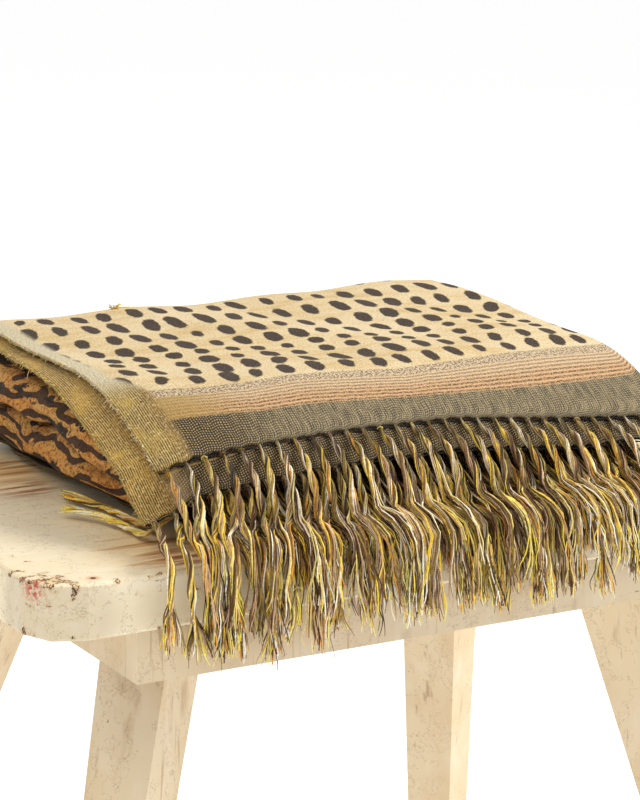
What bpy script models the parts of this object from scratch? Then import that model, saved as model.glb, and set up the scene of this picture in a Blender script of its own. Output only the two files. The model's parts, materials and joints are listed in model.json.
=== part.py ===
"""Woven throw blanket, folded into twelve plies on a plain wooden stool.

The cloth is one sheet, 1.30 m wide and 1.75 m long. It is folded end to end, so both
fringed ends lie together at the front, then in three across its width, then in half again
from the back. Each of the six ply ends at the front has a fringe of knotted locks.
Metres, +Z up, the floor at z = 0.
"""
import math

import bmesh
import bpy
from mathutils import Vector
from numpy import interp

CM = 0.01

# Stool: a seat board, four rails under it and four turned-out legs.
SEAT_HEIGHT = 45 * CM
SEAT_LENGTH = 65.5 * CM
SEAT_DEPTH = 44 * CM
SEAT_THICKNESS = 4 * CM
SEAT_LEFT = -9 * CM
CORNER_CUT = 3.4 * CM
EDGE_ROUNDING = 0.25 * CM
FIT = 0.03 * CM
RAIL_INSET = 7 * CM
RAIL_SETBACK = 0.3 * CM
RAIL_DROP = 3.7 * CM
LONG_RAIL_THICKNESS = 1.8 * CM
SHORT_RAIL_THICKNESS = 1.0 * CM
LEG_TOP_WIDTH = 5.6 * CM
LEG_FOOT_WIDTH = 3.8 * CM
LEG_TURN = math.radians(35)
# Legs: name, middle across and from the front at the rails' lower edge, lean per unit of drop.
LEGS = (
    ("leg_front_left", 3.4 * CM, 9.0 * CM, -0.26, -0.17),
    ("leg_front_right", 43.4 * CM, 9.0 * CM, 0.24, -0.17),
    ("leg_back_left", 3.4 * CM, 35.2 * CM, -0.34, 0.18),
    ("leg_back_right", 43.4 * CM, 34.8 * CM, 0.12, 0.20),
)

# Cloth: places are measured from the seat's front edge, its top face and the throw's left side.
SHEET = 0.22 * CM
PAIR_PITCH = 0.52 * CM
PANEL_PITCH = 1.95 * CM
PACKAGE_PITCH = 5.20 * CM
HALF_PACKAGE = PANEL_PITCH + PAIR_PITCH / 2 + SHEET / 2
MIDDLE = FIT + HALF_PACKAGE + PACKAGE_PITCH / 2
LOWEST_PLY = FIT + SHEET / 2
TOP_PLY = MIDDLE + PACKAGE_PITCH / 2 + PANEL_PITCH + PAIR_PITCH / 2
BEND_LEFT = 2.3 * CM
BEND_RIGHT = 44.8 * CM
BEND_BACK = 39.4 * CM
BACK_SQUEEZE = 0.5
FRONT_BEND = 9.4 * CM
HIDDEN_EDGE = 43.6 * CM
COLUMNS = [x * CM for x in (5, 11, 18, 27, 36)]
ROWS = [y * CM for y in (10, 12, 14.5, 17, 22, 28, 34)]
BEND_STEPS = 4
BACK_STEPS = 6
END_ROWS_FIRST = 3
END_ROWS_SECOND = 4

# Height of the pile as a share of its full height, a row for each place across (cm)
# and a column for each distance from the seat's front edge (cm).
HEIGHT_FROM_FRONT = (2.5, 4, 5.5, 7, 9, 11, 13, 16, 20, 26, 36)
HEIGHT_SHARE = (
    (0.5, (0.38, 0.40, 0.42, 0.44, 0.47, 0.57, 0.68, 0.81, 0.92, 0.98, 1.03)),
    (2.75, (0.39, 0.44, 0.48, 0.54, 0.60, 0.68, 0.79, 0.92, 0.98, 1.01, 1.03)),
    (5, (0.38, 0.47, 0.55, 0.63, 0.75, 0.86, 0.94, 0.99, 1.00, 1.01, 1.04)),
    (11, (0.40, 0.51, 0.61, 0.71, 0.86, 0.96, 1.00, 1.00, 0.98, 1.01, 1.05)),
    (18, (0.44, 0.55, 0.65, 0.74, 0.88, 0.98, 1.01, 0.99, 0.99, 1.03, 1.04)),
    (27, (0.41, 0.52, 0.61, 0.71, 0.86, 0.97, 1.01, 1.01, 1.00, 1.02, 1.03)),
    (36, (0.38, 0.49, 0.58, 0.68, 0.83, 0.94, 0.98, 1.00, 1.01, 1.03, 1.06)),
    (44.8, (0.35, 0.46, 0.55, 0.64, 0.76, 0.85, 0.91, 0.95, 0.97, 0.99, 1.05)),
)
ACROSS = [share[0] * CM for share in HEIGHT_SHARE]
# Where each visible ply ends and how far its front hangs below the pile, at the same places across.
END_FIRST = [y * CM for y in (7.4, 7.2, 6.8, 6.3, 6.2, 6.4, 5.7, 5.0)]
END_SECOND = [y * CM for y in (4.8, 4.6, 4.4, 4.0, 3.9, 4.2, 3.6, 3.4)]
END_HIDDEN = 8.7 * CM
FRONT_SAG = [z * CM for z in (2.0, 1.5, 0.9, 0.3, 0.25, 0.3, 0.5, 0.2)]
SAG_OF_FIRST_PLY = 0.55
SAG_START = 9.0 * CM
SAG_FULL = 5.5 * CM
# Free side edge of the top and bottom panel: distances from the seat's front edge, and places across.
SIDE_EDGES = {
    "upper first": ((10, 40), (3.0, 3.0)),
    "lower first": ((9, 14, 18.5, 26, 36), (4.6, 4.4, 3.7, 3.0, 2.7)),
    "lower second": ((9, 14, 18.5, 26, 36), (4.6, 4.3, 3.5, 2.8, 2.4)),
    "upper second": ((10, 16, 26, 33, 40), (0.9, 0.8, 1.4, 1.9, 2.3)),
}
# How the left side of the pile lies: how far the plies under the flap step in at the front and below,
# how much they wander, and how far the lowest plies' free edge curls up.
SIDE_REACH = 12 * CM
FLAP_FROM = (8.1 * CM, 9.0 * CM)
STEP_FROM_FRONT = ((8.5 * CM, 16 * CM), (1.9 * CM, 0.0))
STEP_FROM_BELOW = ((4.4 * CM, 5.6 * CM), (0.8 * CM, 0.0))
WANDER = ((0.28 * CM, 38, 90), (0.18 * CM, 71, -60))
SWELL = (0.07 * CM, 52, 31)
SWELL_FROM = (12 * CM, 16 * CM)
CURL = 0.75 * CM
CURL_ACROSS = ((3.0 * CM, 7.5 * CM), (1.0, 0.0))
CURL_BELOW = ((1.2 * CM, 1.8 * CM), (1.0, 0.0))

# Fringe
STRIP = 0.6 * CM
STRIP_GAP = 0.12 * CM
LOCK_PITCH = 1.4 * CM
LOCK_WIDTH = 0.75 * CM
HIDDEN_LOCK_PITCH = 1.95 * CM
LOCK_TIP = 0.75
FIRST_LOCK_IN = 0.2 * CM
LAST_LOCK_IN = 0.3 * CM
LEVEL_SOON = 1.6
# Where a lock drifts sideways as it hangs, by its place across: on reaching the seat's edge, and at its tip.
DRIFT_ACROSS = [x * CM for x in (3, 8, 12, 16, 25, 44)]
FRONT_DRIFT = ((-1.9, -2.1, -1.9, -1.2, -0.9, -0.6), (-2.1, -2.5, -2.1, 0.0, 0.8, 1.3))
BACK_DRIFT = ((0.1, 0.2, 0.3, 0.4, 0.5, 0.6), (0.3, 0.4, 0.6, 0.8, 1.0, 1.2))
DRIFT_REACHED = (0.0, 0.6, 1.0)
UNEVEN_DRIFT = 0.12 * CM
UNEVEN_TIP = 0.5 * CM
UNEVEN_HIDDEN_TIP = 0.2 * CM
# How fast the unevenness runs from lock to lock, and how far it is shifted from fringe to fringe.
DRIFT_BEAT = (2.4, 5)
TIP_BEAT = (1.7, 3)
# Shares of a fringe's clearance at which its locks round the seat's front edge.
ROUND_EDGE = (-0.75, 0.72)
# Fringes, bottom to top: name, panel, side of the pair, distance kept from the seat's front edge,
# height of the tips, sideways drift, and the two powers that bend the fall from the ply's end to
# the seat: 1 and 1 would be straight.
FRINGES = (
    ("fringe_third_second", "panel 3", -1, 0.32 * CM, -2.8 * CM, BACK_DRIFT, (1.0, 2.6)),
    ("fringe_third_first", "panel 3", 1, 0.64 * CM, -2.2 * CM, BACK_DRIFT, (1.0, 2.5)),
    ("fringe_middle_first", "panel 2", 1, 0.96 * CM, -1.4 * CM, BACK_DRIFT, (1.0, 2.4)),
    ("fringe_middle_second", "panel 2", -1, 1.28 * CM, -0.7 * CM, BACK_DRIFT, (1.0, 2.3)),
    ("fringe_top_second", "panel 1", -1, 1.64 * CM, -5.6 * CM, FRONT_DRIFT, (1.0, 1.3)),
    ("fringe_top_first", "panel 1", 1, 2.10 * CM, -4.4 * CM, FRONT_DRIFT, (1.6, 1.0)),
)
VISIBLE_FALL = (0.3, 0.55, 0.8, 1.0)
HIDDEN_FALL = (0.25, 0.55, 1.0)
# Two locks of the lowest fringe are turned back along the pile's left side (cm).
TURNED_BACK = (
    ((4.1, 7.4, 1.7), (3.3, 8.3, 0.8), (3.2, 11.5, 0.35), (2.7, 15.5, 0.35), (1.5, 20.0, 0.35)),
    ((3.1, 6.7, 1.5), (2.1, 7.4, 0.6), (1.9, 9.8, 0.35), (1.1, 12.8, 0.35), (-0.6, 16.2, 0.35)),
)


def clear_scene():
    for obj in list(bpy.data.objects):
        bpy.data.objects.remove(obj, do_unlink=True)


def material(name, colour, roughness):
    surface = bpy.data.materials.new(name)
    surface.use_nodes = True
    shader = surface.node_tree.nodes["Principled BSDF"]
    shader.inputs["Base Color"].default_value = (*colour, 1.0)
    shader.inputs["Roughness"].default_value = roughness
    shader.inputs["Metallic"].default_value = 0.0
    return surface


def add_object(name, bm, surface, collection, parent):
    """Turn a bmesh into an object of the throw, under the empty that places it on the floor."""
    bmesh.ops.recalc_face_normals(bm, faces=bm.faces)
    mesh = bpy.data.meshes.new(name)
    bm.to_mesh(mesh)
    bm.free()
    mesh.materials.append(surface)
    obj = bpy.data.objects.new(name, mesh)
    collection.objects.link(obj)
    obj.parent = parent
    return obj


def thicken(obj, thickness):
    solid = obj.modifiers.new("Thickness", "SOLIDIFY")
    solid.thickness = thickness
    solid.offset = 0.0
    for polygon in obj.data.polygons:
        polygon.use_smooth = True


def box(name, low, high, surface, collection, parent):
    bm = bmesh.new()
    bmesh.ops.create_cube(bm, size=1.0)
    middle = (Vector(low) + Vector(high)) / 2
    size = Vector(high) - Vector(low)
    for vert in bm.verts:
        vert.co = Vector(a * b for a, b in zip(vert.co, size)) + middle
    return add_object(name, bm, surface, collection, parent)


def seat_board(surface, collection, parent):
    """Seat board with its four corners cut off and its edges a little rounded."""
    low = (SEAT_LEFT, 0.0, -SEAT_THICKNESS)
    high = (SEAT_LEFT + SEAT_LENGTH, SEAT_DEPTH, 0.0)
    board = box("seat_board", low, high, surface, collection, parent)
    bm = bmesh.new()
    bm.from_mesh(board.data)
    upright = [e for e in bm.edges if abs(e.verts[0].co.z - e.verts[1].co.z) > SEAT_THICKNESS / 2]
    bmesh.ops.bevel(bm, geom=upright, offset=CORNER_CUT, offset_type="OFFSET", segments=2, profile=0.5, affect="EDGES")
    bm.to_mesh(board.data)
    bm.free()
    rounding = board.modifiers.new("Worn edge", "BEVEL")
    rounding.width = EDGE_ROUNDING
    rounding.segments = 2
    rounding.limit_method = "ANGLE"
    rounding.angle_limit = math.radians(40)


def rails(surface, collection, parent):
    left = SEAT_LEFT + RAIL_INSET
    right = SEAT_LEFT + SEAT_LENGTH - RAIL_INSET
    front = RAIL_SETBACK
    back = SEAT_DEPTH - RAIL_SETBACK
    top = -SEAT_THICKNESS - FIT
    bottom = -SEAT_THICKNESS - RAIL_DROP
    inner_front = front + LONG_RAIL_THICKNESS
    inner_back = back - LONG_RAIL_THICKNESS
    box("rail_front", (left, front, bottom), (right, inner_front, top), surface, collection, parent)
    box("rail_back", (left, inner_back, bottom), (right, back, top), surface, collection, parent)
    for name, start in (("rail_left", left), ("rail_right", right - SHORT_RAIL_THICKNESS)):
        low = (start, inner_front + FIT, bottom)
        high = (start + SHORT_RAIL_THICKNESS, inner_back - FIT, top)
        box(name, low, high, surface, collection, parent)


def leg(name, across, from_front, lean_x, lean_y, surface, collection, parent):
    """Square leg from the seat board to the floor, turned in plan, leaning out, its foot flat."""
    rail_bottom = -SEAT_THICKNESS - RAIL_DROP
    bm = bmesh.new()
    bmesh.ops.create_cube(bm, size=1.0)
    for vert in bm.verts:
        at_top = vert.co.z > 0
        width = LEG_TOP_WIDTH if at_top else LEG_FOOT_WIDTH
        height = -SEAT_THICKNESS - FIT if at_top else -SEAT_HEIGHT
        drop = rail_bottom - height
        x, y = vert.co.x * width, vert.co.y * width
        vert.co.x = across + lean_x * drop + x * math.cos(LEG_TURN) - y * math.sin(LEG_TURN)
        vert.co.y = from_front + lean_y * drop + x * math.sin(LEG_TURN) + y * math.cos(LEG_TURN)
        vert.co.z = height
    return add_object(name, bm, surface, collection, parent)


def height_share(x, y):
    """Share of the full height that the pile keeps at a place on the seat."""
    front = [d * CM for d in HEIGHT_FROM_FRONT]
    column = [interp(y, front, shares) for _, shares in HEIGHT_SHARE]
    return interp(x, ACROSS, column)


def side_edge(ply, y):
    """Place across of a ply's free side edge, at a distance from the seat's front edge."""
    distances, places = SIDE_EDGES[ply]
    return interp(y / CM, distances, places) * CM


def settle(x, y, z, hanging):
    """Move a point of the evenly folded cloth to where the soft pile lets it lie."""
    towards_left = 1 - min(max(x / SIDE_REACH, 0.0), 1.0)
    under_flap = interp(z, FLAP_FROM, (1.0, 0.0))
    inwards = interp(y, *STEP_FROM_FRONT) + interp(z, *STEP_FROM_BELOW)
    for size, along, up in WANDER:
        inwards += size * math.sin(along * y + up * z)
    height, across, along = SWELL
    lift = (z - LOWEST_PLY) * height_share(x, y)
    lift += interp(y, SWELL_FROM, (0.0, 1.0)) * (z - LOWEST_PLY) / MIDDLE * height * math.sin(across * x + along * y)
    lift += CURL * interp(x, *CURL_ACROSS) ** 2 * interp(z, *CURL_BELOW)
    if hanging:
        sag = interp(y, (SAG_FULL, SAG_START), (1.0, 0.0))
        sag *= interp(z, (TOP_PLY - PAIR_PITCH, TOP_PLY), (1.0, SAG_OF_FIRST_PLY))
        lift -= sag * interp(x, ACROSS, FRONT_SAG)
    return Vector((x + towards_left * under_flap * inwards, y, LOWEST_PLY + lift))


def across_stations():
    """Stations across the cloth: over the top panel, round to the middle and the lowest one."""
    angles = [math.pi / 2 - math.pi * k / BEND_STEPS for k in range(1, BEND_STEPS)]
    stations = [("edge", 0.0), ("edge", 0.5)]
    stations += [("panel 1", x) for x in COLUMNS + [BEND_RIGHT]]
    stations += [("right bend", a) for a in angles]
    stations += [("panel 2", x) for x in [BEND_RIGHT] + COLUMNS[::-1] + [BEND_LEFT]]
    stations += [("left bend", a) for a in angles]
    stations += [("panel 3", x) for x in [BEND_LEFT] + COLUMNS + [HIDDEN_EDGE]]
    return stations


def place_across(kind, value, offset, free_edge):
    """Place across and height in the package of a ply lying offset above its pair's middle."""
    half = PANEL_PITCH / 2
    if kind == "edge":
        return free_edge + value * (COLUMNS[0] - free_edge), PANEL_PITCH + offset
    if kind == "panel 1":
        return value, PANEL_PITCH + offset
    if kind == "right bend":
        radius = half + offset
        return BEND_RIGHT + radius * math.cos(value), half + radius * math.sin(value)
    if kind == "panel 2":
        return value, -offset
    if kind == "left bend":
        radius = half - offset
        return BEND_LEFT - radius * math.cos(value), radius * math.sin(value) - half
    return value, offset - PANEL_PITCH


def along_stations():
    """Stations along the cloth, first end to second: leg of the fold, place, ply side, free edge."""
    stations = []
    for k in range(END_ROWS_FIRST, 0, -1):
        stations.append(("first end", k / END_ROWS_FIRST, 1.0, side_edge("upper first", ROWS[0])))
    stations += [("upper", y, 1.0, side_edge("upper first", y)) for y in ROWS + [BEND_BACK]]
    stations += back_bend(1.0, side_edge("upper first", BEND_BACK), side_edge("lower first", BEND_BACK), False)
    stations += [("lower", y, 1.0, side_edge("lower first", y)) for y in [BEND_BACK] + ROWS[::-1] + [FRONT_BEND]]
    for k in range(1, BEND_STEPS):
        angle = math.pi / 2 - math.pi * k / BEND_STEPS
        stations.append(("front bend", angle, 0.0, side_edge("lower first", FRONT_BEND)))
    stations += [("lower", y, -1.0, side_edge("lower second", y)) for y in [FRONT_BEND] + ROWS + [BEND_BACK]]
    stations += back_bend(-1.0, side_edge("lower second", BEND_BACK), side_edge("upper second", BEND_BACK), True)
    stations += [("upper", y, -1.0, side_edge("upper second", y)) for y in [BEND_BACK] + ROWS[::-1]]
    for k in range(1, END_ROWS_SECOND + 1):
        stations.append(("second end", k / END_ROWS_SECOND, -1.0, side_edge("upper second", ROWS[0])))
    return stations


def back_bend(side, edge_in, edge_out, rising):
    stations = []
    for k in range(1, BACK_STEPS):
        angle = math.pi / 2 - math.pi * k / BACK_STEPS
        edge = edge_in + (edge_out - edge_in) * k / BACK_STEPS
        stations.append(("back bend", -angle if rising else angle, side, edge))
    return stations


def ply_end(kind, value, x, side):
    """Distance from the seat's front edge at which a ply ends, for a station across."""
    ends = END_FIRST if side > 0 else END_SECOND
    if kind in ("edge", "panel 1"):
        return interp(x, ACROSS, ends)
    if kind == "right bend":
        return interp(value, (-math.pi / 2, math.pi / 2), (END_HIDDEN, ends[-1]))
    return END_HIDDEN


def cloth_point(across, along):
    """Point of the cloth's middle surface at a station across and one along."""
    kind, value, side, free_edge = along
    offset = side * PAIR_PITCH / 2
    if kind == "front bend":
        offset = PAIR_PITCH / 2 * math.sin(value)
    x, w = place_across(*across, offset, free_edge)
    if kind == "back bend":
        radius = PACKAGE_PITCH / 2 + w
        y = BEND_BACK + BACK_SQUEEZE * radius * math.cos(value)
        return settle(x, y, MIDDLE + radius * math.sin(value), False)
    if kind in ("lower", "front bend"):
        y = value if kind == "lower" else FRONT_BEND - PAIR_PITCH / 2 * math.cos(value)
        return settle(x, y, MIDDLE - PACKAGE_PITCH / 2 - w, False)
    y = value
    if kind in ("first end", "second end"):
        y = ROWS[0] + value * (ply_end(*across, x, side) - ROWS[0])
    return settle(x, y, MIDDLE + PACKAGE_PITCH / 2 + w, across[0] in ("edge", "panel 1"))


def cloth(surface, collection, parent):
    """The whole throw as one sheet: a flat grid laid onto its folds, then thickened."""
    across = across_stations()
    along = along_stations()
    nx, ny = len(across) - 1, len(along) - 1
    bm = bmesh.new()
    bmesh.ops.create_grid(bm, x_segments=nx, y_segments=ny, size=0.5)
    for vert in bm.verts:
        i = round((vert.co.x + 0.5) * nx)
        j = round((vert.co.y + 0.5) * ny)
        vert.co = cloth_point(across[i], along[j])
    sheet = add_object("throw_cloth", bm, surface, collection, parent)
    thicken(sheet, SHEET)


def strip_point(panel, side, x, distance):
    """Point of the strip that carries a fringe, a given distance in front of the ply's end."""
    offset = side * PAIR_PITCH / 2
    _, w = place_across(panel, x, offset, 0.0)
    y = ply_end(panel, x, x, side) - distance
    return settle(x, y, MIDDLE + PACKAGE_PITCH / 2 + w, panel == "panel 1")


def lock_route(root, visible, powers, clearance, tip, drifts, uneven):
    """Route of a lock's middle line: down to the seat, over its front edge, then hanging."""
    bow, dive = powers
    places = []
    for t in VISIBLE_FALL if visible else HIDDEN_FALL:
        height = (1 - t ** bow) ** dive
        places.append((root.y * (1 - t), clearance + height * (root.z - clearance)))
    places.append((ROUND_EDGE[0] * clearance, ROUND_EDGE[1] * clearance))
    if visible:
        places.append((-clearance, 0.0))
    places.append((-clearance, tip))
    reached = [0.0] + [interp(root.x, DRIFT_ACROSS, row) * CM for row in drifts]
    route = []
    for k, (y, z) in enumerate(places, 1):
        share = k / len(places)
        route.append(Vector((root.x + interp(share, DRIFT_REACHED, reached) + uneven * share, y, z)))
    return route


def add_lock(bm, left, right, route):
    """Carry a lock on from the two front corners of its place on the strip."""
    half = (right.co - left.co) / 2
    level = Vector((half.length, 0.0, 0.0))
    previous = (left, right)
    for k, middle in enumerate(route, 1):
        share = k / len(route)
        side = half.lerp(level, min(1.0, LEVEL_SOON * share)) * (1 + (LOCK_TIP - 1) * share)
        pair = (bm.verts.new(middle - side), bm.verts.new(middle + side))
        bm.faces.new((previous[0], previous[1], pair[1], pair[0]))
        previous = pair


def fringe_strip(bm, panel, side):
    """The narrow strip before a ply's end that carries its locks: each lock's two front corners."""
    visible = panel == "panel 1"
    pitch = LOCK_PITCH if visible else HIDDEN_LOCK_PITCH
    first = side_edge("upper first" if side > 0 else "upper second", ROWS[0])
    start = first + FIRST_LOCK_IN if visible else COLUMNS[0]
    end = BEND_RIGHT if visible else HIDDEN_EDGE - LAST_LOCK_IN
    edges = []
    for k in range(int((end - start - LOCK_WIDTH) / pitch) + 1):
        for place in (start + k * pitch, start + k * pitch + LOCK_WIDTH):
            back = bm.verts.new(strip_point(panel, side, place, STRIP_GAP))
            front = bm.verts.new(strip_point(panel, side, place, STRIP_GAP + STRIP))
            edges.append((back, front))
    for (back_a, front_a), (back_b, front_b) in zip(edges, edges[1:]):
        bm.faces.new((back_a, back_b, front_b, front_a))
    return [(edges[k][1], edges[k + 1][1]) for k in range(0, len(edges), 2)]


def fringe(name, panel, side, clearance, tip, drifts, powers, surface, collection, parent):
    """One ply's fringe: a narrow strip before the ply's end, with locks carried on from it."""
    visible = panel == "panel 1"
    bm = bmesh.new()
    turned_back = TURNED_BACK if name == FRINGES[0][0] else ()
    for k, (left, right) in enumerate(fringe_strip(bm, panel, side)):
        if k < len(turned_back):
            route = [Vector(point) * CM for point in turned_back[k]]
        else:
            uneven = UNEVEN_DRIFT * math.sin(DRIFT_BEAT[0] * k + DRIFT_BEAT[1] * clearance / CM)
            swing = UNEVEN_TIP if visible else UNEVEN_HIDDEN_TIP
            low = tip + swing * math.sin(TIP_BEAT[0] * k + TIP_BEAT[1] * side)
            root = (left.co + right.co) / 2
            route = lock_route(root, visible, powers, clearance, low, drifts, uneven)
        add_lock(bm, left, right, route)
    strands = add_object(name, bm, surface, collection, parent)
    thicken(strands, SHEET)


def stand_on_floor(parent):
    """Put the middle of the whole thing's footprint at the world's origin, feet on the floor."""
    bpy.context.view_layer.update()
    graph = bpy.context.evaluated_depsgraph_get()
    corners = []
    for obj in parent.children:
        corners += [obj.matrix_world @ v.co for v in obj.evaluated_get(graph).data.vertices]
    middle_x = (min(c.x for c in corners) + max(c.x for c in corners)) / 2
    middle_y = (min(c.y for c in corners) + max(c.y for c in corners)) / 2
    parent.location = (-middle_x, -middle_y, SEAT_HEIGHT)


def main():
    clear_scene()
    collection = bpy.data.collections.new("throw_blanket")
    bpy.context.scene.collection.children.link(collection)
    parent = bpy.data.objects.new("throw_on_stool", None)
    collection.objects.link(parent)
    paint = material("stool_paint", (0.78, 0.70, 0.55), 0.55)
    wool = material("throw_cloth", (0.62, 0.48, 0.28), 0.95)
    yarn = material("fringe_yarn", (0.34, 0.28, 0.14), 0.9)
    seat_board(paint, collection, parent)
    rails(paint, collection, parent)
    for row in LEGS:
        leg(*row, paint, collection, parent)
    cloth(wool, collection, parent)
    for row in FRINGES:
        fringe(*row, yarn, collection, parent)
    stand_on_floor(parent)
    bpy.context.view_layer.update()


main()
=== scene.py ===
"""Folded woven throw with a knotted fringe at each end, lying over the edge of a painted stool."""
import json
import math
from functools import partialmethod

import bpy
import numpy as np
from bpy.props import FloatProperty, FloatVectorProperty, IntProperty, PointerProperty
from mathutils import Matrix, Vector

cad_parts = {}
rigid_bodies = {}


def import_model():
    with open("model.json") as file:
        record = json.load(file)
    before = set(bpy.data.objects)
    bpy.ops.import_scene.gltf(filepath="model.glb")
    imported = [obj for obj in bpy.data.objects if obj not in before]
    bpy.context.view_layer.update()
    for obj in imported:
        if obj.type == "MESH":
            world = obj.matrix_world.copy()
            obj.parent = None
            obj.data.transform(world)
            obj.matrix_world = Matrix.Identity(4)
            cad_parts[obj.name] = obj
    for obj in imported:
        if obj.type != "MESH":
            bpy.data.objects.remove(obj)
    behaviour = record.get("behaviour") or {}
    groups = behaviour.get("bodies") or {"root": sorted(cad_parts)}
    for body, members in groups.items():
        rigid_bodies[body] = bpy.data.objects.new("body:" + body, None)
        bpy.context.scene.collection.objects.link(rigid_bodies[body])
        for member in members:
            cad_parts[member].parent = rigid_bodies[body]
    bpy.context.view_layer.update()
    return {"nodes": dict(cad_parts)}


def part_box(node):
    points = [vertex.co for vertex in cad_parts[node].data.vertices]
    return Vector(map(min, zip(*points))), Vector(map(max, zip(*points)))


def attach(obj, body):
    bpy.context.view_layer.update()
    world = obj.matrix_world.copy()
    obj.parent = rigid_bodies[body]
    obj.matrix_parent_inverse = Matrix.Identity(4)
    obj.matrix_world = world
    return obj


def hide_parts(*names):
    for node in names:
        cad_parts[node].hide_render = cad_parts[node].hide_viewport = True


bl_info = {
    "name": "Folded Throw On A Stool",
    "version": (1, 0, 0),
    "blender": (4, 5, 0),
    "location": "3D View > Sidebar > Throw",
    "description": "Dresses a folded throw, its fringe and its stool, and lights them",
    "category": "Add Mesh",
}

CM = 0.01
MM = 0.001
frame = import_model()
SEAT_LOW, SEAT_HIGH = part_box("seat_board")

# The throw is measured from the seat's front edge, its top face and the throw's own left side.
SEAT_LEFT = -9 * CM
DATUM = Vector((SEAT_LOW.x - SEAT_LEFT, SEAT_LOW.y, SEAT_HIGH.z))

# Fold of the cloth
SHEET = 0.22 * CM
PAIR_PITCH = 0.52 * CM
PANEL_PITCH = 1.95 * CM
PACKAGE_PITCH = 5.20 * CM
FIT = 0.03 * CM
HALF_PACKAGE = PANEL_PITCH + PAIR_PITCH / 2 + SHEET / 2
MIDDLE = FIT + HALF_PACKAGE + PACKAGE_PITCH / 2
LOWEST_PLY = FIT + SHEET / 2
TOP_PLY = MIDDLE + PACKAGE_PITCH / 2 + PANEL_PITCH + PAIR_PITCH / 2
BEND_LEFT = 2.3 * CM
BEND_RIGHT = 44.8 * CM
BEND_BACK = 39.4 * CM
BACK_SQUEEZE = 0.5
FRONT_BEND = 9.4 * CM
FIRST_ROW = 10 * CM
EDGE_COLUMN = 5 * CM
HIDDEN_EDGE = 43.6 * CM
HEIGHT_FROM_FRONT = (2.5, 4, 5.5, 7, 9, 11, 13, 16, 20, 26, 36)
HEIGHT_SHARE = (
    (0.5, (0.38, 0.40, 0.42, 0.44, 0.47, 0.57, 0.68, 0.81, 0.92, 0.98, 1.03)),
    (2.75, (0.39, 0.44, 0.48, 0.54, 0.60, 0.68, 0.79, 0.92, 0.98, 1.01, 1.03)),
    (5, (0.38, 0.47, 0.55, 0.63, 0.75, 0.86, 0.94, 0.99, 1.00, 1.01, 1.04)),
    (11, (0.40, 0.51, 0.61, 0.71, 0.86, 0.96, 1.00, 1.00, 0.98, 1.01, 1.05)),
    (18, (0.44, 0.55, 0.65, 0.74, 0.88, 0.98, 1.01, 0.99, 0.99, 1.03, 1.04)),
    (27, (0.41, 0.52, 0.61, 0.71, 0.86, 0.97, 1.01, 1.01, 1.00, 1.02, 1.03)),
    (36, (0.38, 0.49, 0.58, 0.68, 0.83, 0.94, 0.98, 1.00, 1.01, 1.03, 1.06)),
    (44.8, (0.35, 0.46, 0.55, 0.64, 0.76, 0.85, 0.91, 0.95, 0.97, 0.99, 1.05)),
)
ACROSS = tuple(share[0] for share in HEIGHT_SHARE)
END_FIRST = (7.4, 7.2, 6.8, 6.3, 6.2, 6.4, 5.7, 5.0)
END_SECOND = (4.8, 4.6, 4.4, 4.0, 3.9, 4.2, 3.6, 3.4)
END_HIDDEN = 8.7 * CM
FRONT_SAG = (2.0, 1.5, 0.9, 0.3, 0.25, 0.3, 0.5, 0.2)
SAG_OF_FIRST_PLY = 0.55
SAG_START = 9.0 * CM
SAG_FULL = 5.5 * CM
SIDE_EDGES = {
    "upper first": ((10, 40), (3.0, 3.0)),
    "lower first": ((9, 14, 18.5, 26, 36), (4.6, 4.4, 3.7, 3.0, 2.7)),
    "lower second": ((9, 14, 18.5, 26, 36), (4.6, 4.3, 3.5, 2.8, 2.4)),
    "upper second": ((10, 16, 26, 33, 40), (0.9, 0.8, 1.4, 1.9, 2.3)),
}
SIDE_REACH = 12 * CM
FLAP_FROM = (8.1 * CM, 9.0 * CM)
STEP_FROM_FRONT = ((8.5 * CM, 16 * CM), (1.9 * CM, 0.0))
STEP_FROM_BELOW = ((4.4 * CM, 5.6 * CM), (0.8 * CM, 0.0))
# Waves of the folded sides: size, how fast along, how fast up.
WANDER = ((0.28 * CM, 38, 90), (0.18 * CM, 71, -60))
# Waves of the top: height, how fast across, how fast along.
SWELL = (0.07 * CM, 52, 31)
SWELL_FROM = (12 * CM, 16 * CM)
CURL = 0.75 * CM
CURL_ACROSS = ((3.0 * CM, 7.5 * CM), (1.0, 0.0))
CURL_BELOW = ((1.2 * CM, 1.8 * CM), (1.0, 0.0))
# Small crumples of the folded sides: size, how fast along, how fast up, and how much each wanders.
CRUMPLE = ((0.20 * CM, 31, 310, 2.2), (0.12 * CM, 57, 520, 1.7), (0.12 * CM, 140, 200, 1.0))
CRUMPLE_ACROSS = ((2.8 * CM, 6.5 * CM), (1.0, 0.0))
LIFT_OF_CRUMPLE = 0.30 * CM
CRUMPLE_PHASE = 1.3
# The left folds are also lifted in waves between two heights: how fast along, bend, its speed, up.
LIFTED_FROM = (1.6 * CM, 2.4 * CM)
LIFTED_TO = (6.8 * CM, 7.6 * CM)
LIFT_WAVES = (47, 2.0, 23, 100)
FLAT_SIZE = (1.30, 1.75)

# Span and step of the fine tables of the pile's shape, and how widely their corners are rounded (cm).
TABLE_SPAN = (-2, 48)
TABLE_STEP = 0.25
ROUNDED_ALONG = 1.5
ROUNDED_ACROSS = 2.5
ROUNDED_ENDS = 2.0

# Fineness of the sheet: the top panel and the left part of the folds are seen from close by.
STEP_FINE = 3.6 * MM
STEP_SIDE = 5 * MM
STEP_HIDDEN = 20 * MM
STEP_ALONG = 9.5 * MM
LEFT_PART = 7 * CM
EDGE_STEPS = 16
FIRST_END_STEPS = 13
SECOND_END_STEPS = 16
RIGHT_BEND_STEPS = 9
LEFT_BEND_STEPS = 14
FRONT_BEND_STEPS = 5
BACK_BEND_STEPS = 10

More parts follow.
